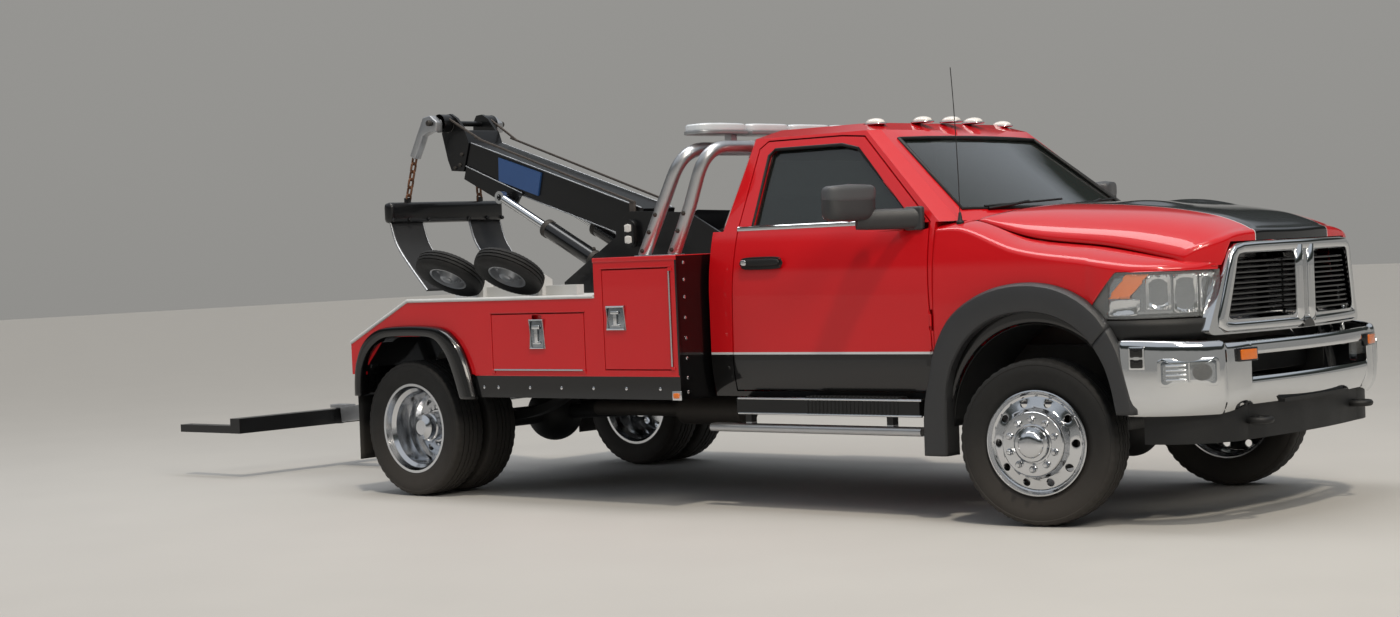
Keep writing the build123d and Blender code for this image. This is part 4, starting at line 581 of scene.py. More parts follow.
# Fenders: pressed steel with a rolled shoulder under the hood's shut line, open over the lamp and round
# the wheel. Red enamel with dust low down, and black inside the arch.
def eased(stops, t):
    """A smooth curve through (t, value) stops."""
    i = next((i for i in range(len(stops) - 1) if t <= stops[i + 1][0]), len(stops) - 2)
    before, after = stops[max(i - 1, 0)], stops[min(i + 2, len(stops) - 1)]
    (t0, v0), (t1, v1) = stops[i:i + 2]
    width, s = t1 - t0, (t - t0) / (t1 - t0)
    slope0 = (v1 - before[1]) / (t1 - before[0])
    slope1 = (after[1] - v0) / (after[0] - t0)
    return ((2 * s ** 3 - 3 * s ** 2 + 1) * v0 + (s ** 3 - 2 * s ** 2 + s) * width * slope0 +
            (3 * s ** 2 - 2 * s ** 3) * v1 + (s ** 3 - s ** 2) * width * slope1)


def arc_through(a, m, b, count):
    """Points on the circle through three (x, y) points."""
    d = 2 * (a[0] * (m[1] - b[1]) + m[0] * (b[1] - a[1]) + b[0] * (a[1] - m[1]))
    sa, sm, sb = (p[0] ** 2 + p[1] ** 2 for p in (a, m, b))
    cx = (sa * (m[1] - b[1]) + sm * (b[1] - a[1]) + sb * (a[1] - m[1])) / d
    cy = (sa * (b[0] - m[0]) + sm * (a[0] - b[0]) + sb * (m[0] - a[0])) / d
    radius = hypot(a[0] - cx, a[1] - cy)
    first, last = atan2(a[1] - cy, a[0] - cx), atan2(b[1] - cy, b[0] - cx)
    angles = [first + (last - first) * i / (count - 1) for i in range(count)]
    return [(cx + radius * cos(angle), cy + radius * sin(angle)) for angle in angles]


def lean_in(z, most):
    """How far the flank leans in at a height, up to the most."""
    return 0 if z < 1080 else min(55 * ((z - 1080) / 410) ** 2.2, most)


# Red enamel with a faint orange peel of 9 mm waves in its clear coat and dust low on the panels.
red = enamel("red_enamel")
tree = red.node_tree
peel = add(tree, "ShaderNodeTexNoise", {"Vector": add(tree, "ShaderNodeTexCoord", {}).outputs["Object"],
                                        "Scale": 1000 / 9, "Detail": 1.0})
waves = add(tree, "ShaderNodeBump", {"Height": peel, "Strength": 0.03, "Distance": 0.001})
tree.links.new(waves.outputs[0], tree.nodes["Principled BSDF"].inputs["Coat Normal"])
dusted(red, "#7A5A50", 0.95, 0.45, 0.16)
fender_red = red.copy()
fender_red.name = "red_enamel_black_arch"
tree = fender_red.node_tree
flat_place = add(tree, "ShaderNodeVectorMath", {0: add(tree, "ShaderNodeTexCoord", {}).outputs["Object"],
                                                1: (1, 0, 1)}, operation="MULTIPLY")
reach = add(tree, "ShaderNodeVectorMath", {0: flat_place, 1: (FRONT_AXLE, 0, 0.47)}, operation="DISTANCE")
repaint(fender_red, add(tree, "ShaderNodeMath", {0: reach.outputs[1], 1: 0.572}, operation="LESS_THAN"),
        "#060607")
nose_arc = arc_through((836, 600), (690, 880), (300, 985), 49)
FENDER_TOP = [(-592, 1487), (-424, 1485), (-112, 1384), (320, 1328), (700, 1256), (836, 1234)]
SHOULDER = radians(52)
bm = bmesh.new()
for side in (-1, 1):
    rows = []
    for i in range(121):
        x = -591.5 + 1427.5 * i / 120
        top = eased(FENDER_TOP, x)
        roll = eased([(-592, 46), (-300, 60), (330, 84), (836, 60)], x)
        wide = 985 if x < 300 else next((b[1] + (a[1] - b[1]) * (x - b[0]) / (a[0] - b[0])
                                         for a, b in zip(nose_arc, nose_arc[1:]) if a[0] >= x >= b[0]), 600)
        low = 606 if x < -506 else (470 + sqrt(max(0.0, 509 ** 2 - x ** 2)) if x < 452 else 886)
        if x > 324:
            behind_lamp = 1046 + (x - 324) * 164 / 136
            low = min(1212, max(low, behind_lamp)) if x < 460 else 1212
        edge = 806 if x < 640 else 806 - 160 * ((x - 640) / 228) ** 1.5
        wide = max(wide - 1, edge + 6)
        start = max(low, top - roll)
        row = []
        for k in range(15):
            z = low + (start - low) * k / 14
            row.append(at(x, side * (wide - lean_in(z, wide - edge - 2)), z))
        shoulder = wide - lean_in(start, wide - edge - 2)
        for k in range(1, 15):
            angle = SHOULDER * k / 14
            over = (cos(angle) - cos(SHOULDER)) / (1 - cos(SHOULDER))
            row.append(at(x, side * (edge + (shoulder - edge) * over),
                          start + (top - start) * sin(angle) / sin(SHOULDER)))
        row.append(at(x, side * (edge - 2), top - 16))
        rows.append(row)
    skin(bm, rows)
piece("fender_skins", bm, fender_red, "truck", "fenders", 0.003)


# Flares, liners and flaps: satin plastic arches that bulge over the front wheels with a separate lower
# piece, deep glossy ones over the twin wheels, dark moulded liners and rubber mud flaps.
def line_through(points, count):
    """Points spread evenly along a smooth curve through (a, b) pairs."""
    lengths = [0.0]
    for p, q in zip(points, points[1:]):
        lengths.append(lengths[-1] + hypot(q[0] - p[0], q[1] - p[1]))
    ways = [list(zip(lengths, values)) for values in zip(*points)]
    return [tuple(eased(way, lengths[-1] * i / (count - 1)) for way in ways) for i in range(count)]


def arch(bm, outer, inner, root, crest, side, start, end, count, lip=60, full=0.55):
    """Add an arch between two lines, crested between them and turned in at the lip."""
    outer_line, inner_line = line_through(outer, 97), line_through(inner, 97)
    rise = crest - root
    section = ((0.0, root), (0.0, root + rise * 0.35), (0.03, root + rise * 0.62), (0.11, root + rise * 0.86),
               (0.28, crest - 2), (full, crest), (0.84, crest - 1), (0.95, crest - 5), (1.0, crest - 14),
               (1.0, root - lip))
    rows = []
    for i in range(count + 1):
        k = round(96 * (start + (end - start) * i / count))
        (ax, az), (bx, bz) = outer_line[k], inner_line[k]
        rows.append([at(ax + (bx - ax) * t, side * y, az + (bz - az) * t) for t, y in section])
    skin(bm, rows)


FRONT_OUTER = [(-652, 325), (-645, 560), (-606, 720), (-560, 880), (-455, 1030), (-260, 1138), (-30, 1176),
               (190, 1142), (370, 1035), (478, 880), (530, 720), (563, 545)]
FRONT_INNER = [(-500, 325), (-496, 560), (-480, 700), (-440, 800), (-350, 915), (-200, 1002), (-15, 1032),
               (155, 1005), (300, 925), (395, 800), (440, 690), (470, 545)]
REAR_OUTER = [(-4740, 600), (-4735, 700), (-4715, 800), (-4650, 915), (-4540, 990), (-4400, 1017),
              (-4060, 1017), (-3915, 988), (-3808, 900), (-3742, 780), (-3682, 590)]
REAR_INNER = [(-4680, 600), (-4675, 690), (-4655, 775), (-4600, 860), (-4500, 930), (-4400, 955),
              (-4080, 955), (-3985, 930), (-3908, 850), (-3856, 750), (-3798, 590)]
front, rear, flaps, liners = (bmesh.new() for _ in range(4))
for side in (-1, 1):
    arch(front, FRONT_OUTER, FRONT_INNER, 986, 1044, side, 0.0, 0.80, 60)
    arch(front, FRONT_OUTER, FRONT_INNER, 986, 1040, side, 0.805, 1.0, 16)
    arch(rear, REAR_OUTER, REAR_INNER, 1211, 1260, side, 0.0, 1.0, 72, lip=90, full=0.5)
    skin(flaps, [[at(-4762 + 5 * sin(3.0 * (z - 209) / 500) * sin(i / 2), side * (702 + 500 * i / 14), z)
                  for z in range(209, 728, 37)] for i in range(15)])
    skin(liners, [[at(498 * cos(pi * i / 32), side * y, 470 + 505 * sin(pi * i / 32))
                   for y in (560, 700, 850, 955, 968)] for i in range(33)])
piece("front_flares", front, flare_grey, "truck", "wheel_flares", 0.004)
piece("rear_flares", rear, gloss_black, "truck", wall=0.005)
piece("mud_flaps", flaps, rubber, "truck", wall=0.008, grow=0.0)
piece("arch_liners", liners, moulded, "truck", wall=0.004, grow=0.0)

# Hood: one pressed, crowned pan that rolls over at its sides and down to the grille, with a raised
# middle and two low scoops. Red enamel with a broad gloss black stripe, thinly edged in silver.
stripe_red = enamel("red_enamel_black_stripe", 0.32, 0.025)
painted(stripe_red, "#C4C6C8", y=(-1, 0.372))
painted(stripe_red, "#08080A", y=(-1, 0.366))
SEAM = [(-424, 1490), (-100, 1392), (330, 1336), (640, 1270), (790, 1240), (890, 1232)]
CROWN = [(-424, 1556), (-100, 1556), (330, 1524), (640, 1474), (790, 1424), (890, 1368)]
ROLL = 26
rows = []
for i in range(61):
    v = -1 + i / 30
    edge = copysign(abs(v) ** 0.8, v)
    y = 798 * edge
    a = abs(y)
    rear = -424 + 195 * (1 - edge ** 2)
    nose = 884 - 34 * (y / 560) ** 2 if a < 560 else 850 - 150 * ((a - 560) / 238) ** 2.2
    bottom = 1334 if a < 585 else max(1226, 1334 - 108 * (a - 585) / 55)
    dome = 13 * max(0.0, 1 - (max(0.0, a - 330) / 60)) ** 2 if a < 390 else 0.0
    row = []
    for k in range(49):
        x = rear + (nose - ROLL - rear) * k / 48
        seam, crown = eased(SEAM, x), eased(CROWN, x)
        z = seam + (crown - seam) * max(0.0, 1 - abs(edge) ** 3.8) ** 0.72
        z += min(1.0, max(0.0, (x + 330) / 300)) * dome * 0.3
        z += 16 * max(0.0, 1 - ((a - 235) / 95) ** 2) * max(0.0, 1 - ((x - 250) / 190) ** 2)
        row.append(at(x, y, z))
    top = row[-1]
    drop = max(4.0, top.z * 1000 - bottom)
    for angle in (0.35, 0.75, 1.15, pi / 2):
        row.append(top + Vector((ROLL * sin(angle), 0, -min(ROLL, drop) * (1 - cos(angle)))) / 1000)
    row.append(Vector((row[-1].x, row[-1].y, bottom / 1000 if drop > 27 else row[-1].z - 0.002)))
    row.append(row[-1] + Vector((-0.03, 0, 0)))
    rows.append(row)
bm = bmesh.new()
skin(bm, rows)
piece("hood_skin", bm, stripe_red, "hood_assembly", "hood", 0.012)


# Grille: a chromed surround that spreads round the corners towards its foot, with a crowned moulding
# round it and down both middle bars, a notch at its foot, and gloss black louvres.
def flared(x, y, z):
    """Spread the grille outward and round the corner towards its foot, with fuller top corners."""
    foot = min(1.0, max(0.0, (1330 - z) / 430))
    sill = min(1.0, max(0.0, (1278 - z) / 312))
    outer, window = 590 + 60 * foot, 532 + 46 * sill
    push_window, push_outer = 25 + 41 * sill, 26 + 98 * foot
    a = abs(y)
    if a <= 102:
        wide = a
    elif a <= window:
        wide = a + push_window * (a - 102) / (window - 102)
    else:
        wide = a + push_window + (push_outer - push_window) * (a - window) / (outer - window)
    if x > 800:
        x -= 78 * ((wide / 660) ** 2 - (a / 660) ** 2)
    across, up = (wide - 524) / 98, (z - 1232) / 98
    size = hypot(across, up)
    if across > 0 and up > 0 and size > 1:
        wide, z = 524 + 98 * across / size, 1232 + 98 * up / size
    return x, wide if y > 0 else -wide, z


def on_grille(y, z, out=0.0):
    """A point on the surround's bowed front."""
    return at(930 - 78 * (y / 660) ** 2 + out, y, z)


reworked("grille_surround", "grille_frame", "hood_assembly", chrome, 24, segments=6, least=40,
         keep=lambda e: min(v.co.x for v in e.verts) > at(800, 0, 0).x and abs(e.verts[0].co.y) > 0.03,
         shape=flared)
reworked("grille_louvres", "louvres", "hood_assembly", gloss_black, 2, least=20,
         shape=flared)
around = [(0, 1304), (200, 1304), (400, 1303), (520, 1301), (566, 1290), (588, 1262), (604, 1200),
          (640, 1080), (672, 975), (676, 948), (656, 933), (600, 931), (400, 931), (200, 931), (0, 931)]
around += [(-y, z) for y, z in reversed(around[1:-1])]
bm = bmesh.new()
rows = []
for i, (y, z) in enumerate(around):
    before, after = around[i - 1], around[(i + 1) % len(around)]
    way = Vector((after[0] - before[0], after[1] - before[1])).normalized()
    half = 23 + 12 * abs(way.y) * min(1.0, (1330 - z) / 430)
    rows.append([on_grille(y + half * cos(pi * k / 12) * way.y, z - half * cos(pi * k / 12) * way.x,
                           13 * sin(pi * k / 12) ** 0.8 - 1) for k in range(13)])
skin(bm, rows, loop=True)
for y in (-58, 58):
    skin(bm, [[on_grille(y + 34 * cos(pi * k / 12), z, 14 * sin(pi * k / 12) ** 0.8 - 1) for k in range(13)]
              for z in (930, 1000, 1100, 1200, 1304)])
piece("grille_crown", bm, chrome, "hood_assembly", wall=0.002)
bm = bmesh.new()
notch = [(56 * cos(pi * k / 20), 903 + 40 * sin(pi * k / 20)) for k in range(21)]
bm.faces.new(skin(bm, [[at(x, y, z) for y, z in notch] for x in (900, 944.5)])[-1])
piece("grille_notch", bm, gloss_black, "hood_assembly")


# Headlamps: chromed bowls, a square turn lamp and a slanted amber reflector on a grey backing, behind a
# clear moulded cover that follows the nose, over black panels down to the bumper.
def nose_point(angle, z, inset):
    """A point on the corner's plan arc from the grille (0) round to the arch (1)."""
    x, y = nose_arc[round(48 * min(1.0, max(0.0, angle)))]
    after = nose_arc[min(48, round(48 * min(1.0, angle)) + 1)]
    before = nose_arc[max(0, round(48 * angle) - 1)]
    nx, ny = after[1] - before[1], before[0] - after[0]
    size = hypot(nx, ny) or 1.0
    return x - inset * nx / size, y - inset * ny / size, z


def lamp_sheet(bm, side, a0, a1, z0, z1, inset, curve=0.0, slant=0.0, count=18, levels=8):
    """Add a patch on the corner at an inset, bulging inward by a curve; slant leans its top forward."""
    rows = []
    for i in range(count + 1):
        s = i / count
        row = []
        for k in range(levels + 1):
            t = k / levels
            deep = inset + curve * (1 - (2 * s - 1) ** 2) * (1 - (2 * t - 1) ** 2)
            x, y, z = nose_point(a0 + (a1 - a0) * s + slant * (0.5 - t), z0 + (z1 - z0) * t, deep)
            row.append(at(x, side * y, z))
        rows.append(row)
    skin(bm, rows)


# Lamp reflectors: vacuum-coated plastic, grey with a coarse facet. Acrylic covers: clear with a hard gloss.
# Amber acrylic: deep orange with a 2 mm prism pattern.
lamp_chrome = surface("lamp_chrome", "#9A9FA4", 0.14, metal=1.0, vary=0.2, blotch=33, bump=0.25, pit=6.25)
clear_lens = surface("clear_lens", "#E4E8EA", 0.04, vary=0.02, blotch=333, IOR=1.49, Alpha=0.15,
                     Coat_Weight=1.0, Coat_Roughness=0.02)
amber_lens = surface("amber_lens", "#E0700C", 0.12, blotch=25, bump=0.3, pit=2, Coat_Weight=1.0,
                     Coat_Roughness=0.04, Alpha=0.93)
bowls, backs, ambers, panels = (bmesh.new() for _ in range(4))
for side in (-1, 1):
    lamp_sheet(bowls, side, 0.06, 0.20, 1012, 1192, 26, curve=30)
    lamp_sheet(bowls, side, 0.22, 0.40, 1012, 1192, 26, curve=34)
    lamp_sheet(bowls, side, 0.42, 0.58, 1030, 1192, 26, curve=26)
    lamp_sheet(bowls, side, 0.63, 0.84, 1006, 1080, 22, curve=14, slant=0.03)
    lamp_sheet(backs, side, 0.02, 0.86, 996, 1206, 36, count=30)
    lamp_sheet(ambers, side, 0.63, 0.77, 1086, 1198, 14, curve=4, slant=0.13)
    lamp_sheet(panels, side, 0.0, 0.995, 887, 984, -2, count=40, levels=3)
piece("lamp_bowls", bowls, chrome, "truck", wall=0.002)
piece("lamp_backs", backs, lamp_chrome, "truck", wall=0.002)
piece("lamp_ambers", ambers, amber_lens, "truck", wall=0.003)
piece("lamp_panels", panels, moulded, "truck", wall=0.003)
reworked("lamps", "lamp_covers", "truck", clear_lens, 3, least=20, drop=lambda c: c.z > 1.9,
         shape=lambda x, y, z: (x - 0.056 * (x - 300) if x > 300 and abs(y) > 550 else x, y, z))

# Bumper and valance: a rolled, chromed face with fuller ends and an intake in its middle, over a black
# moulded valance. Fog lamps in rounded bezels, stacked vents and amber strobes are set into the face.
bumper_plan = (arc_through((985, 0), (974, 302), (940, 600), 25) +
               arc_through((940, 600), (760, 920), (470, 1000), 50)[1:])
bumper_run = [0.0]
for a, b in zip(bumper_plan, bumper_plan[1:]):
    bumper_run.append(bumper_run[-1] + hypot(b[0] - a[0], b[1] - a[1]))


def on_bumper(side, s, z, out=0.0):
    """A point on the bumper's face, s along it from the middle, proud by an amount."""
    k = next((i for i in range(len(bumper_run) - 2) if bumper_run[i + 1] >= s), len(bumper_run) - 2)
    a, b = bumper_plan[k], bumper_plan[k + 1]
    w = (s - bumper_run[k]) / (bumper_run[k + 1] - bumper_run[k])
    tx, ty = b[0] - a[0], b[1] - a[1]
    size = hypot(tx, ty)
    return at(a[0] + tx * w + out * ty / size, side * (a[1] + ty * w - out * tx / size), z)


def ramp_up(value, low, high):
    """0 below low, 1 above high, smooth between."""
    w = min(1.0, max(0.0, (value - low) / (high - low)))
    return w * w * (3 - 2 * w)


last = bumper_run[-1]
stops = sorted({round(-last + 2 * last * i / 150, 1) for i in range(151)} |
               {way * s for way in (-1, 1) for s in (588.0, 600.0, 754.0, 766.0, 778.0, 790.0)})
levels = [0.0, 0.012, 0.03, 0.06, 0.1, 0.16, 0.24, 0.32, 0.41, 0.5, 0.58, 0.66, 0.735, 0.8, 0.86, 0.91, 0.945,
          0.97, 0.988, 1.0]
INTAKE = {0.32: 697.0, 0.41: 718.0, 0.5: 742.0, 0.58: 764.0, 0.66: 786.0, 0.735: 803.0}
bm = bmesh.new()
grid = []
for s in stops:
    fuller = ramp_up(abs(s), 754, 786)
    end = ramp_up(abs(s), last - 26, last)
    top = 868 + 12 * fuller + 18 * ramp_up(abs(s), 800, last)
    foot = 562 - 30 * ramp_up(abs(s), 560, 800)
    row = []
    for t in levels:
        z = foot + (top - foot) * t
        if abs(s) <= 600:
            z = INTAKE.get(t, 562 + 135 * t / 0.32 if t < 0.32 else 803 + 65 * (t - 0.735) / 0.265)
        roll = -26 * (1 - sqrt(max(0.0, 1 - ((t - 0.9) / 0.1) ** 2))) if t > 0.9 else 0
        tuck = -38 * (1 - t / 0.24) ** 2 if t < 0.24 else 0
        belly = 9 * sin(pi * min(1.0, max(0.0, (t - 0.1) / 0.85))) * (0.4 + 0.6 * fuller)
        out = 5 + 13 * fuller + roll + tuck + belly - 16 * end
        row.append(bm.verts.new(on_bumper(1 if s > 0 else -1, abs(s), z, out)))
    grid.append(row)
for i in range(len(stops) - 1):
    for k in range(len(levels) - 1):
        if abs(stops[i] + stops[i + 1]) / 2 > 594 or not 0.32 <= (levels[k] + levels[k + 1]) / 2 <= 0.735:
            bm.faces.new((grid[i][k], grid[i + 1][k], grid[i + 1][k + 1], grid[i][k + 1]))
piece("bumper_face", bm, chrome, "truck", "bumper", 0.006)
reworked("valance", "valance_shell", "truck", moulded, 6, segments=3, least=40)
bezels, lenses, dark, strobes, bowls = (bmesh.new() for _ in range(5))
SET_IN = (
    # form, along from and to, height from and to, proud by, corner radius
    (bezels, 812, 1086, 672, 806, 33, 24), (bowls, 826, 1072, 684, 794, 34, 18),
    (bezels, 1140, 1214, 756, 864, 30, 6), (dark, 1148, 1206, 764, 806, 31, 5),
    (dark, 1148, 1206, 813, 856, 31, 5), (dark, 566, 704, 774, 838, 22, 6),
    (strobes, 578, 692, 782, 830, 28, 8),
)
# From the middle of each out to its edge: how far over it, and how proud in millimetres
ROUNDED = ((0.25, 0.8), (0.6, 0.6), (0.96, 0.0), (0.985, -0.8), (1.0, -3), (1.0, -30))
for side in (-1, 1):
    for form, s0, s1, z0, z1, out, corner in SET_IN:
        middle_s, middle_z = (s0 + s1) / 2, (z0 + z1) / 2
        outline = []
        for cs, cz, first in ((s1 - corner, z1 - corner, 0), (s0 + corner, z1 - corner, 90),
                              (s0 + corner, z0 + corner, 180), (s1 - corner, z0 + corner, 270)):
            outline += [(cs + corner * cos(radians(first + 15 * k)) - middle_s,
                         cz + corner * sin(radians(first + 15 * k)) - middle_z) for k in range(7)]
        rows = [[on_bumper(side, middle_s + s * grow, middle_z + z * grow, out + lift) for s, z in outline]
                for grow, lift in ROUNDED]
        form.faces.new(skin(form, rows, around=True)[0])
    rows = []
    for r in [0.02] + [k / 12 for k in range(1, 13)]:
        row = []
        for k in range(49):
            c, s = cos(2 * pi * k / 48), sin(2 * pi * k / 48)
            u, v = r * copysign(abs(c) ** 0.35, c), r * copysign(abs(s) ** 0.35, s)
            row.append(on_bumper(side, 949 + 112 * u, 739 + 47 * v, 37 + 6 * (1 - r * r)))
        rows.append(row)
    skin(lenses, rows)
    for z in (706, 728, 750, 772):
        tube(bezels, [on_bumper(side, s, z, 35) for s in (966, 1008, 1050)], 0.006, sides=8)
    tube(bezels, [on_bumper(side, 952, z, 35) for z in (694, 739, 784)], 0.005, sides=8)
    turns = [2 * pi * k / 32 for k in range(33)]
    skin(dark, [[on_bumper(side, 894 + 44 * r * cos(a), 739 + 40 * r * sin(a), 36) for a in turns]
                for r in (0.02, 0.5, 1.0)])
piece("fog_bezels", bezels, chrome, "truck")
piece("bumper_recesses", dark, gloss_black, "truck")
piece("fog_bowls", bowls, lamp_chrome, "truck")
piece("strobes", strobes, amber_lens, "truck")
piece("fog_lenses", lenses, clear_lens, "truck")

# Side steps: drawn aluminium, the upper one black with chrome rods along its top and bottom edges as painted
# highlights, and ribbed rubber pads on its top and face, the lower one a bare bright bar. The bare metal
# mirrors softly, the enamel over it is dull.
step_paint = surface("step_enamel", "#B9BBBE", 0.3, metal=0.9, vary=0.08, blotch=100)
tree = step_paint.node_tree
place = add(tree, "ShaderNodeSeparateXYZ", {0: add(tree, "ShaderNodeTexCoord", {}).outputs["Object"]})
above = add(tree, "ShaderNodeMath", {0: place.outputs[2], 1: 0.47}, operation="GREATER_THAN")
repaint(step_paint, above, "#08090A")
bare = add(tree, "ShaderNodeMix", {0: above, 2: 0.9, 3: 0.0}, data_type="FLOAT")
tree.links.new(bare.outputs[0], tree.nodes["Principled BSDF"].inputs["Metallic"])
reworked("side_steps", "steps", "truck", step_paint, 9, segments=3)
edges, pads = bmesh.new(), bmesh.new()
low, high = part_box("side_steps")
edge_y = max(abs(low.y), abs(high.y)) * 1000
for side in (-1, 1):
    middle = side * (edge_y - 45)
    # Chrome rods along the upper step's top and bottom edges: painted highlights on the gloss black step.
    for z in (521, 600):
        tube(edges, [at(x, side * (edge_y - 1), z) for x in (-1850, -1500, -1000, -645)], 0.0065)
    for k in range(24):
        x = -1385 + k * 25.2
        slab(pads, at(x, middle - 46, 606), at(x + 13, middle + 46, 616), bevel=0.003)
        slab(pads, at(x, side * edge_y - 4, 528), at(x + 13, side * edge_y + 5, 594), bevel=0.003)
    slab(pads, at(-1392, middle - 48, 600), at(-790, middle + 48, 609), bevel=0.003)
piece("step_edge_highlights", edges, chrome, "truck")
piece("step_pads", pads, moulded, "truck")

# Roof markers: five moulded lenses over the windscreen, each a flat dome on a bright foot screwed to the
# roof. The acrylic is almost clear, and its inner ribs, drawn 4 mm wide, make it sparkle.
marker_lens = surface("marker_lens", "#E9E6E0", 0.1, vary=0.06, blotch=11, bump=0.6, pit=3.85,
                      Coat_Weight=1.0, Coat_Roughness=0.03, Alpha=0.85)
domes, feet = bmesh.new(), bmesh.new()
MARKERS = ((-1200, -590, 2022), (-1150, -237, 2034), (-1130, 0, 2036), (-1150, 237, 2034), (-1200, 590, 2022))
turns = [2 * pi * k / 28 for k in range(29)]
climbs = [pi * k / 16 for k in range(9)]
for x, y, z in MARKERS:
    skin(domes, [[at(x + 58 * cos(up) * cos(a), y + 44 * cos(up) * sin(a), z + 6 + 26 * sin(up))
                  for a in turns] for up in climbs])
    cushion(feet, lambda a, b, c: at(x + a, y + b, z + c), (64, 50, 8), 2.6, 28, 6)
bmesh.ops.remove_doubles(domes, verts=domes.verts, dist=0.0001)
piece("roof_markers", domes, marker_lens, "truck")
piece("marker_feet", feet, polished, "truck")


# Light pylon and light bar: two hoops of brushed aluminium tube, bent cold and bolted down on plates,
# and five clear lenses on a silver base across their top.
def bent(points, radius, count=10):
    """A line of points with its corners rounded."""
    line = [points[0]]
    for before, corner, after in zip(points, points[1:], points[2:]):
        a, b = before - corner, after - corner
        reach = min(radius / tan(a.angle(b) / 2), a.length * 0.49, b.length * 0.49)
        for i in range(count + 1):
            t = i / count
            line.append(corner + a.normalized() * reach * (1 - t) ** 2 + b.normalized() * reach * t ** 2)
    return line + [points[-1]]


# Brushed aluminium: a satin metal with scratches fore and aft, drawn 2.5 mm wide, coarser than they are.
brushed = surface("brushed_aluminium", "#B9BBBE", 0.34, metal=0.95, vary=0.08, blotch=100)
tree = brushed.node_tree
drawn_out = add(tree, "ShaderNodeMapping", {0: add(tree, "ShaderNodeTexCoord", {}).outputs["Object"],
                                            3: (6.0, 400.0, 400.0)})
scratches = add(tree, "ShaderNodeTexNoise", {"Vector": drawn_out, "Scale": 1.0, "Detail": 2.0})
scored = add(tree, "ShaderNodeBump", {"Height": scratches, "Strength": 0.12, "Distance": 0.001})
tree.links.new(scored.outputs[0], tree.nodes["Principled BSDF"].inputs["Normal"])
# The bar's lenses are clear with a 6 mm prism pattern; silver enamel is a metallic paint, faintly uneven.
bar_lens = surface("bar_lens", "#D4DADF", 0.1, vary=0.06, blotch=33, bump=0.5, pit=5.6, Coat_Weight=1.0,
                   Coat_Roughness=0.03, Alpha=0.9)
silver_paint = surface("silver_enamel", "#A9ABAE", 0.36, metal=0.8, vary=0.15, blotch=71, bump=0.15, pit=3.85)
hoops, bolts = bmesh.new(), bmesh.new()
for foot_x, middle_x, top_x in ((-2520, -2372, -2199), (-2300, -2165, -2035)):
    path = [(foot_x, 1377), (middle_x, 1640), (top_x, 1950)]
    tube(hoops, bent([at(x, -1000, z) for x, z in path] + [at(x, 1000, z) for x, z in reversed(path)], 0.25),
         0.036, sides=28)
    for side in (-1, 1):
        for t in (0.12, 0.5, 0.85):
            spot = at(foot_x + (middle_x - foot_x) * t, side * 1035, 1373 + 267 * t)
            turned(bolts, [(-0.004, 0.014), (0.003, 0.014), (0.005, 0.010), (0.010, 0.009), (0.0105, 0.0)],
                   spot, Vector((0, side, 0)), 6)
for side in (-1, 1):
    slab(hoops, at(-2560, side * 1000 - 42, 1373), at(-2255, side * 1000 + 42, 1381), bevel=0.003)
    slab(hoops, at(-2229, side * 600 - 30, 1972), at(-2025, side * 600 + 30, 1987), bevel=0.003)
    slab(hoops, at(-2224, side * 600 - 25, 1980), at(-2174, side * 600 + 25, 2028), bevel=0.003)
piece("pylon", hoops, brushed, "truck", "light_pylon")
piece("pylon_bolts", bolts, cast_iron, "truck")
lenses, bases = bmesh.new(), bmesh.new()
for middle, half in ((-743, 183), (-373, 183), (0, 186), (373, 183), (743, 183)):
    taper = 0.35 if abs(middle) > 700 else 0.0
    for form, z, deep, rise, power in ((lenses, 2064, 112, 27, 5), (bases, 2038, 114, 12, 8)):
        cushion(form, lambda a, b, c: at(-2195 + a * (1 - taper * max(0.0, abs(middle + b) - 780) / 150),
                                         middle + b, z + c), (deep, half, rise), power, 40, 14)
piece("bar_lenses", lenses, bar_lens, "truck")
piece("bar_base", bases, silver_paint, "truck", "light_bar")

# Tow body: folded steel boxes in red enamel with black skirts, front walls and wheel wells, their tool
# doors, and a white deck plate. The lids leave out the solids' latches.
body_red = enamel("body_enamel", 0.32)
painted(body_red, "#060607", z=(-1, 0.728))
painted(body_red, "#060607", x=(at(-2112, 0, 0).x, 9))
painted(body_red, "#060607", y=(-1, 1.204), z=(-1, 1.03), x=(at(-4785, 0, 0).x, at(-3650, 0, 0).x))
# White deck enamel: chalky, and greyed by boots and chains.
white_deck = surface("white_enamel", "#C6C7C6", 0.62, vary=0.14, blotch=200, bump=0.2, pit=8.3,
                     Specular_IOR_Level=0.3)
for side, word in both_sides:
    reworked("side_body_" + word, "box_" + word, "truck", body_red, 5, segments=3, least=20)
    for kind in ("low", "tall"):
        reworked(kind + "_door_" + word, kind + "_lid_" + word, "box_%s_%s" % (kind, word),
                 body_red, 3, least=20, drop=lambda c: abs(c.y) > 1.2105)
reworked("deck", "deck_plate", "truck", white_deck, 2.5)

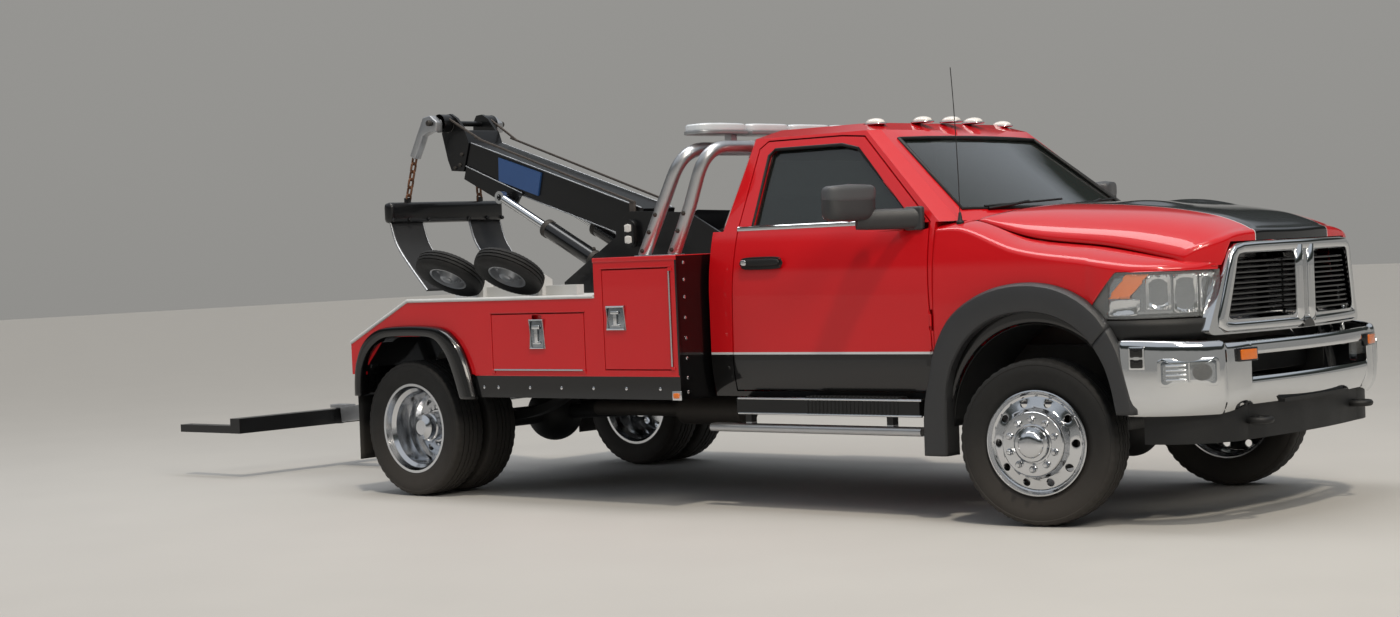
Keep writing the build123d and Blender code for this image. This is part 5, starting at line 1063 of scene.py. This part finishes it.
# Latches and hinges: each tool door has a chromed frame round a dark cup with a folding T handle, and
# turns on a polished pin, along the foot of the low door and up the front of the tall one.
LATCHES = (
    # door, x, z, half width, half height
    ("low", -3175, 962, 54, 80),
    ("tall", -2555, 1045, 66, 62),
)
HINGES = {
    "low": [(x, 759) for x in (-3530, -3300, -3050, -2820)],
    "tall": [(-2151, z) for z in (779, 900, 1100, 1292)],
}
HANDLE = (
    # half width, y, half depth, foot and top as shares of the half height, edge
    (12, 1219, 6, -0.66, 0.5, 0.004), (30, 1223, 5, 0.34, 0.62, 0.005), (30, 1217, 5, -0.74, -0.52, 0.005),
)
for side, word in both_sides:
    for kind, x, z, wide, high in LATCHES:
        body = "box_%s_%s" % (kind, word)
        bm = bmesh.new()
        corners = [at(x + u, side * 1213, z + v)
                   for u, v in ((-wide, -high), (wide, -high), (wide, high), (-wide, high))]
        tube(bm, corners, 0.009, sides=12, closed=True)
        for half, y, deep, foot, top, bevel in HANDLE:
            slab(bm, at(x - half, side * y - deep, z + high * foot),
                 at(x + half, side * y + deep, z + high * top), bevel=bevel)
        piece("latch_%s_%s" % (kind, word), bm, chrome, body)
        bm = bmesh.new()
        slab(bm, at(x - wide + 4, side * 1211.4 - 1, z - high + 4),
             at(x + wide - 4, side * 1211.4 + 1, z + high - 4), bevel=0.0009)
        piece("latch_cup_%s_%s" % (kind, word), bm, lamp_chrome, body)
        bm = bmesh.new()
        tube(bm, [at(u, side * 1214.5, v) for u, v in HINGES[kind]], 0.0052, sides=12)
        piece("hinge_%s_%s" % (kind, word), bm, polished, body)

# Body trim and lamps: pan-head screws in the skirt and front panels, folded drip edges, the white cap
# along the box, amber side markers in bright bezels and red tail lamps of deep, prismed acrylic.
red_lens = surface("red_lens", "#A80D0D", 0.12, blotch=25, bump=0.3, pit=2, Coat_Weight=1.0,
                   Coat_Roughness=0.04, Alpha=0.95)
SCREW = [(0.0, 0.0095), (0.002, 0.0095), (0.0045, 0.006), (0.005, 0.0)]
FOLDS = (
    # x from and to, y middle, half depth, z from and to, edge
    (-3700, -2104, 1211.5, 1.5, 724, 731, 0.001), (-2718, -2098, 1212, 2, 1352, 1375, 0.0015),
    (-2718, -2098, 932, 280, 1372, 1377, 0.002), (-3556, -2794, 1212, 2, 1083, 1089, 0.0015),
    (-2661, -2139, 1212, 2, 1316, 1322, 0.0015),
)
CAP = ((-2722, 1166), (-3500, 1166), (-4268, 1166), (-4795, 922))
screws, folds, caps, bezels, ambers, reds = (bmesh.new() for _ in range(6))
for side in (-1, 1):
    for x in (-3630, -3510, -3251, -2999, -2749, -2499, -2248):
        turned(screws, SCREW, at(x, side * 1210, 658), Vector((0, side, 0)), 14)
    for z in (640, 716, 820, 930, 1040, 1150, 1243, 1335):
        turned(screws, SCREW, at(-2100, side * 1150, z), Vector((1, 0, 0)), 14)
    for x0, x1, y, deep, z0, z1, bevel in FOLDS:
        slab(folds, at(x0, side * y - deep, z0), at(x1, side * y + deep, z1), bevel=bevel)
    tube(caps, [at(x, side * 1208, z) for x, z in CAP], 0.011)
    slab(bezels, at(-2158, side * 1214 - 3.5, 598), at(-2092, side * 1214 + 3.5, 648), bevel=0.003)
    slab(bezels, at(-4808, side * 1125 - 72, 754), at(-4798, side * 1125 + 72, 856), bevel=0.004)
    cushion(ambers, lambda a, b, c: at(-2125 + c, side * (1219 + a), 623 + b), (7, 15, 23), 4, 24)
    cushion(reds, lambda a, b, c: at(-4817 + a, side * (1125 + b), 805 + c), (9, 60, 42), 5, 28)
piece("body_screws", screws, chrome, "truck")
piece("body_folds", folds, red, "truck")
piece("deck_edges", caps, white_deck, "truck")
piece("marker_bezels", bezels, chrome, "truck")
piece("side_markers", ambers, amber_lens, "truck")
piece("tail_lamps", reds, red_lens, "truck")


# Mast and boom: welded box sections in black enamel with silver rods along the boom's edges as painted
# highlights, a plain blue panel on each flank, rollers and bolts at the head, and cast winches at the
# mast's foot.
def on_boom(along, rise, y):
    """A point on the boom, from its pivot: along it, square to it and across."""
    a = radians(18.1)
    return at(-3300 - along * cos(a) + rise * sin(a), y, 1551 + along * sin(a) + rise * cos(a))


# Black machine enamel: half gloss, brushed on unevenly. The blue panel is a smoother enamel.
boom_paint = surface("boom_enamel", "#0A0B0D", 0.36, vary=0.25, blotch=200, Coat_Weight=0.4,
                     Coat_Roughness=0.12, Specular_IOR_Level=0.3)
blue_paint = surface("blue_enamel", "#24487A", 0.35, blotch=200, Coat_Weight=0.5, Coat_Roughness=0.1)
reworked("boom_base", "mast", "truck", boom_paint, 4)
reworked("boom_outer", "boom_box", "boom", boom_paint, 5, segments=3)
reworked("boom_inner", "boom_slide", "boom_extension", boom_paint, 4)
reworked("winches", "winches_rounded", "truck", cast_iron, 3)
ROLLER = [(-0.042, 0.0), (-0.042, 0.059), (-0.036, 0.060), (-0.030, 0.052), (-0.026, 0.045), (0.026, 0.045),
          (0.030, 0.052), (0.036, 0.060), (0.042, 0.059), (0.042, 0.030), (0.046, 0.028), (0.046, 0.0)]
panels, edge_highlights, rollers, bolts = (bmesh.new() for _ in range(4))
for side in (-1, 1):
    outward = Vector((0, side, 0))
    corners = [(922, -62), (1285, -64), (1326, 78), (931, 84)]
    rows = [[on_boom(u, r, side * y) for u, r in corners] for y in (139, 153.6)]
    panels.faces.new(skin(panels, rows, around=True)[-1])
    # Silver rods along the boom's top and bottom edges: painted highlights where the edges catch the light.
    for run, y, radius in ((((1062, -83), (1330, -68), (1600, -53)), 153, 0.0035),
                           (((60, 101), (800, 101), (1608, 101)), 139, 0.0038),
                           (((60, -101), (800, -101), (1608, -101)), 139, 0.0035)):
        tube(edge_highlights, [on_boom(along, rise, side * y) for along, rise in run], radius)
    turned(rollers, ROLLER, on_boom(1834, 171, side * 192), outward, 40)
    turned(bolts, [(-0.01, 0.019), (0.010, 0.019), (0.014, 0.015), (0.0145, 0.0)],
           on_boom(1834, 171, side * 322), outward, 20)
    for along, rise in ((1660, 10), (1660, -60), (1700, -90)):
        turned(bolts, [(0.0, 0.014), (0.010, 0.013), (0.012, 0.009), (0.0125, 0.0)],
               on_boom(along, rise, side * 149), outward, 6)
piece("boom_panels", panels, blue_paint, "boom")
piece("boom_edge_highlights", edge_highlights, silver_paint, "boom")
piece("head_rollers", rollers, gloss_black, "boom_extension")
piece("head_bolts", bolts, cast_iron, "boom_extension")


# Winch ropes: taut twisted wire from the boom's foot over its top to the head's rollers. The head's length
# reaches back inside the boom's, so the rope stays whole when the boom runs out.
def strands(bm, a, b, radius, pitch=0.035):
    """Add a straight rope of six strands round a core."""
    length = (b - a).length
    along = (b - a).normalized()
    across = along.cross(Vector((0, 1, 0))).normalized()
    up = across.cross(along)
    steps = max(8, int(length / 0.012))
    for k in range(6):
        line = []
        for i in range(steps + 1):
            run = length * i / steps
            twist = 2 * pi * (k + run / pitch) / 6
            line.append(a + along * run + radius * 0.62 * (cos(twist) * across + sin(twist) * up))
        tube(bm, line, radius * 0.42, sides=5)


# Worn wire rope: dull grey-brown steel, its pits drawn at the size of a wire.
rusty_wire = surface("wire_rope_steel", "#5A5450", 0.6, metal=0.7, vary=0.35, blotch=17, bump=0.5, pit=1.4)
foot_ropes, head_ropes = bmesh.new(), bmesh.new()
for side in (-1, 1):
    y = side * 158
    strands(foot_ropes, on_boom(110, 122, y), on_boom(1560, 148, y), 0.0075)
    foot = on_boom(110, 60, side * 152)
    slab(foot_ropes, foot - Vector((0.022, 0.010, 0.05)), foot + Vector((0.022, 0.010, 0.068)), bevel=0.006)
    strands(head_ropes, on_boom(520, 129.4, y), on_boom(1500, 147, y), 0.0065)
    strands(head_ropes, on_boom(1500, 147, y), on_boom(1822, 214, side * 186), 0.0075)
piece("boom_ropes", foot_ropes, rusty_wire, "boom", "boom_cables")
piece("head_ropes", head_ropes, rusty_wire, "boom_extension")

# Lift cylinders: honed tube barrels in gloss black with a turned gland and hose port, and chromed rods,
# pinned between the mast's foot and the boom.
reworked("lift_barrels", "barrels", "cylinder_barrels", gloss_black, 3)
reworked("lift_rods", "rods", "cylinder_rods", chrome, 2)
lift = atan2(1781 - 1330, -3590 + 4455)
rod_way, square_to_rod = Vector((-cos(lift), 0, sin(lift))), Vector((sin(lift), 0, cos(lift)))
bm = bmesh.new()
for side in (-1, 1):
    foot = at(-3590, side * 220, 1330)
    turned(bm, [(0.494, 0.0555), (0.498, 0.0585), (0.526, 0.0585), (0.531, 0.056), (0.5315, 0.03)], foot,
           rod_way, 40)
    turned(bm, [(0.058, 0.0555), (0.060, 0.058), (0.088, 0.058), (0.090, 0.0555)], foot, rod_way, 40)
    turned(bm, [(0.0, 0.013), (0.010, 0.012), (0.012, 0.009), (0.016, 0.008), (0.0165, 0.0)],
           foot + rod_way * 0.11 + square_to_rod * 0.050, square_to_rod, 6)
piece("barrel_glands", bm, cast_iron, "cylinder_barrels")

# Work lights: an oval moulded housing on each flank of the mast, with two square lamps set one above the
# other behind ribbed acrylic.
housings, panes = bmesh.new(), bmesh.new()
for side in (-1, 1):
    cushion(housings, lambda a, b, c: at(-3249 + b, side * (329 + a), 1510 + c), (21, 46, 84), 3.2, 36, 20)
    for z in (1476, 1544):
        cushion(panes, lambda a, b, c: at(-3249 + b, side * (349 + a), z + c), (4, 27, 25), 6, 24, 8)
piece("work_lights", housings, moulded, "truck")
piece("work_panes", panes, marker_lens, "truck")

# Tow sling: cast swivel cheeks in silver, rusty welded chains, the black crossbar with its bolts, and two
# wide rubber belts that hang from it, with silver rods along their edges as painted highlights.
# Rusty steel: matt brown scale that hardly glints. Belt rubber: a dark grey web, drawn with 4 mm pits.
rusty_steel = surface("rusty_steel", "#6B4A36", 0.7, metal=0.5, vary=0.45, blotch=29, bump=0.6, pit=3.3)
belt_rubber = surface("belt_rubber", "#1C1D1F", 0.62, vary=0.2, blotch=125, bump=0.3, pit=3.85)
CHEEK = [(-4945, 2290), (-5005, 2335), (-5075, 2325), (-5140, 2215), (-5215, 2085), (-5170, 2060),
         (-5120, 2140), (-5085, 2205), (-5010, 2230), (-4950, 2225)]
BELT = line_through([(-5230, 1662), (-5196, 1557), (-5168, 1504), (-5115, 1436), (-5042, 1356),
                     (-4978, 1289), (-4905, 1215)], 41)
cheeks, chains, bar, belts, edges = (bmesh.new() for _ in range(5))
slab(bar, at(-5270, -502, 1650), at(-5190, 502, 1786), bevel=0.03)
for side in (-1, 1):
    skin(cheeks, [[at(x, side * y, z) for x, z in CHEEK] for y in (241, 299)], around=True, caps=True)
    top, foot = at(-5192, side * 270, 2085), at(-5230, side * 320, 1780)
    along = (foot - top).normalized()
    across = Vector((0, 1, 0)).cross(along).normalized()
    for i in range(6):
        wide = across.cross(along) if i % 2 else across
        link = []
        for k in range(28):
            c, s = cos(2 * pi * k / 28), sin(2 * pi * k / 28)
            link.append(top + (foot - top) * ((i + 0.5) / 6) + wide * 0.0175 * s +
                        along * ((0.014 if c > 0 else -0.014) + 0.0165 * c))
        tube(chains, link, 0.0074, closed=True)
    for y in (480, 345, 180):
        turned(bar, [(0.0, 0.015), (0.008, 0.014), (0.012, 0.010), (0.0125, 0.0)], at(-5190, side * y, 1672),
               Vector((1, 0, 0)), 6)
    slab(bar, at(-5240, side * 320 - 24, 1775), at(-5220, side * 320 + 24, 1815), bevel=0.006)
    skin(belts, [[at(x + 7, side * (205 + 280 * k / 14), z - 3 - 1.5 * sin(pi * k / 14)) for k in range(15)]
                 for x, z in BELT])
    # Silver rods along both edges of each belt: painted highlights on the belts' edges.
    for y in (208, 482):
        tube(edges, [at(x + 7, side * y, z - 3) for x, z in BELT], 0.0078, sides=8)
bmesh.ops.recalc_face_normals(cheeks, faces=cheeks.faces)
bmesh.ops.bevel(cheeks, geom=cheeks.edges[:], offset=0.008, segments=3, profile=0.5, affect="EDGES")
piece("sling_cheeks", cheeks, silver_paint, "sling")
piece("sling_chains", chains, rusty_steel, "sling")
piece("sling_crossbar", bar, boom_paint, "sling", "tow_sling")
piece("sling_belts", belts, belt_rubber, "sling", wall=0.013, grow=0.0)
piece("belt_edge_highlights", edges, silver_paint, "sling")

# Wheel lift: the hanger under the frame, the tilting arm, the sliding stinger in silver, and the crossbar
# with its forks, all welded of plate and box section.
reworked("lift_hanger", "lift_hanger_rounded", "truck", frame_paint, 4)
reworked("lift_arm", "lift_arm_rounded", "wheel_lift", boom_paint, 4)
reworked("stinger", "stinger_rounded", "stinger_slide", silver_paint, 4)
reworked("fork_bar", "fork_bar_rounded", "forks", boom_paint, 5)

# Dolly wheels: small block-tread tyres on dished, pressed rims in silver, leaning out and facing down,
# on white frames of welded bar.
DOLLY_HALF = [(36, 113), (40, 118), (46, 132), (49, 150), (50, 166), (49, 184), (47.5, 192), (44, 200),
              (38, 208), (24, 212), (22, 205), (19, 205), (17, 213), (4, 214.5), (2.5, 206), (0, 206)]
DOLLY_FACE = [(0.030, 0.113), (0.040, 0.116), (0.042, 0.113), (0.038, 0.106), (0.020, 0.102), (0.004, 0.098),
              (0.000, 0.086), (0.004, 0.070), (0.010, 0.060), (0.030, 0.052), (0.046, 0.046), (0.048, 0.030),
              (0.056, 0.026), (0.057, 0.0)]
DOLLY_BACK = [(-0.057, 0.0), (-0.055, 0.030), (-0.034, 0.048), (-0.010, 0.060), (-0.006, 0.098),
              (-0.036, 0.106), (-0.042, 0.113), (-0.030, 0.114)]
TILT = radians(57)


def blocks(k, w, r):
    """The depth of the small tread's cuts: 5 mm between shoulder blocks and 3 mm across the crown."""
    if k % 2 == 0 and r > 190 and w > 26:
        return 5.0
    return 3.0 if k % 4 == 0 and r > 207 else 0.0


for tag, x in (("a", -4150), ("b", -3640)):
    for side, word in both_sides:
        name = "%s_%s" % (tag, word)
        centre = at(x, side * 960, 1319)
        axle = Vector((0, side * cos(TILT), -sin(TILT)))
        forward = Vector((1, 0, 0))
        bm = bmesh.new()
        tyre(bm, DOLLY_HALF, centre, axle, forward, 96, blocks)
        piece("dolly_tyre_" + name, bm, rubber, "dolly_" + name, "dolly_wheel_" + name)
        bm = bmesh.new()
        turned(bm, DOLLY_FACE, centre, axle, 48)
        turned(bm, DOLLY_BACK, centre, axle, 48)
        for spot in ring(centre, forward, axle.cross(forward), 0.072, 5):
            turned(bm, [(0.004, 0.010), (0.014, 0.009), (0.016, 0.006), (0.0165, 0.0)], spot, axle, 6)
        piece("dolly_rim_" + name, bm, silver_paint, "dolly_" + name)
reworked("dolly_frames", "dolly_bars", "truck", white_deck, 3)

# Camera: where the photographer stood, ahead of the truck on its right at eye height, with the slight
# tilt that the photograph has.
view = bpy.data.cameras.new("camera")
view.sensor_width = 36.0
view.lens = 60.18
view.clip_end = 200.0
camera = bpy.data.objects.new("camera", view)
bpy.context.scene.collection.objects.link(camera)
yaw, pitch, roll = radians(131.577), radians(-1.466), radians(-2.418)
ahead = Vector((cos(pitch) * cos(yaw), cos(pitch) * sin(yaw), sin(pitch)))
right = ahead.cross(UP).normalized()
upward = right.cross(ahead)
facing = Matrix((cos(roll) * right + sin(roll) * upward, cos(roll) * upward - sin(roll) * right, -ahead))
facing = facing.transposed().to_4x4()
facing.translation = at(6281.8, -10477.4, 1405.3)
camera.matrix_world = facing
bpy.context.scene.camera = camera
bpy.context.scene.view_settings.view_transform = "Standard"

# Floor: a power-floated concrete slab, pale and matt with broad faint clouds, wide enough to fill every
# view.
concrete = surface("studio_floor", "#B4B2AE", 0.85, vary=0.05, blotch=833, bump=0.15, pit=11)
floor_mesh = bpy.data.meshes.new("floor")
floor_mesh.from_pydata([(-60, -60, 0), (60, -60, 0), (60, 60, 0), (-60, 60, 0)], [], [(0, 1, 2, 3)])
floor_mesh.materials.append(concrete)
floor = bpy.data.objects.new("floor", floor_mesh)
bpy.context.scene.collection.objects.link(floor)

# Room: a plain surround for the reflections, pale round the horizon, then a darker band with a soft uneven
# edge and a bright ceiling over it.
world = bpy.data.worlds.new("studio")
bpy.context.scene.world = world
world.use_nodes = True
room = world.node_tree
direction = add(room, "ShaderNodeTexCoord", {}).outputs["Generated"]
uneven = add(room, "ShaderNodeTexNoise", {"Vector": direction, "Scale": 2.6, "Detail": 3.0})
base = add(room, "ShaderNodeMath", {0: uneven, 1: 0.08, 2: 0.46}, operation="MULTIPLY_ADD")
height = add(room, "ShaderNodeSeparateXYZ", {0: direction}).outputs[2]
level = add(room, "ShaderNodeMath", {0: height, 1: 0.5, 2: base}, operation="MULTIPLY_ADD")
ramp = add(room, "ShaderNodeValToRGB", {0: level})
tones = ramp.color_ramp.elements
tones[0].position, tones[0].color = 0.44, colour("#8C8B88")
tones[1].position, tones[1].color = 1.0, colour("#C4C6CA")
for spot, code in ((0.575, "#979693"), (0.60, "#2A2D2B"), (0.69, "#3A3E3B"), (0.73, "#B9BFC6")):
    tones.new(spot).color = colour(code)
backdrop = room.nodes["Background"]
room.links.new(ramp.outputs[0], backdrop.inputs[0])
backdrop.inputs[1].default_value = 1.0

# Lights: a broad key from above the camera's right, a long overhead strip, a cool fill that doesn't show
# in reflections, and a soft low sun.
LAMPS = (
    # name, place, aimed at, size, watts, tint
    ("key", (11.0, -5.5, 8.5), (0.5, 0, 0.8), (5.0, 3.0), 520, "#FFF6E8"),
    ("overhead", (0.0, -0.5, 8.0), (0, 0, 0), (9.0, 2.2), 260, "#FFFFFF"),
    ("fill", (-6.0, -9.0, 4.0), (-1.0, 0, 1.0), (8.0, 5.0), 150, "#EAF1FF"),
    ("sun", (0, 0, 0), (-0.42, 0.35, -1.0), None, 1.35, "#FFF3E0"),
)
for name, place, target, size, power, tint in LAMPS:
    light = bpy.data.lights.new(name, "AREA" if size else "SUN")
    light.energy = power
    light.color = colour(tint)[:3]
    if size:
        light.shape = "RECTANGLE"
        light.size, light.size_y = size
    else:
        light.angle = radians(4)
    lamp = bpy.data.objects.new(name, light)
    bpy.context.scene.collection.objects.link(lamp)
    lamp.location = place
    lamp.rotation_euler = (Vector(target) - Vector(place)).to_track_quat("-Z", "Y").to_euler()
    lamp.visible_glossy = name != "fill"
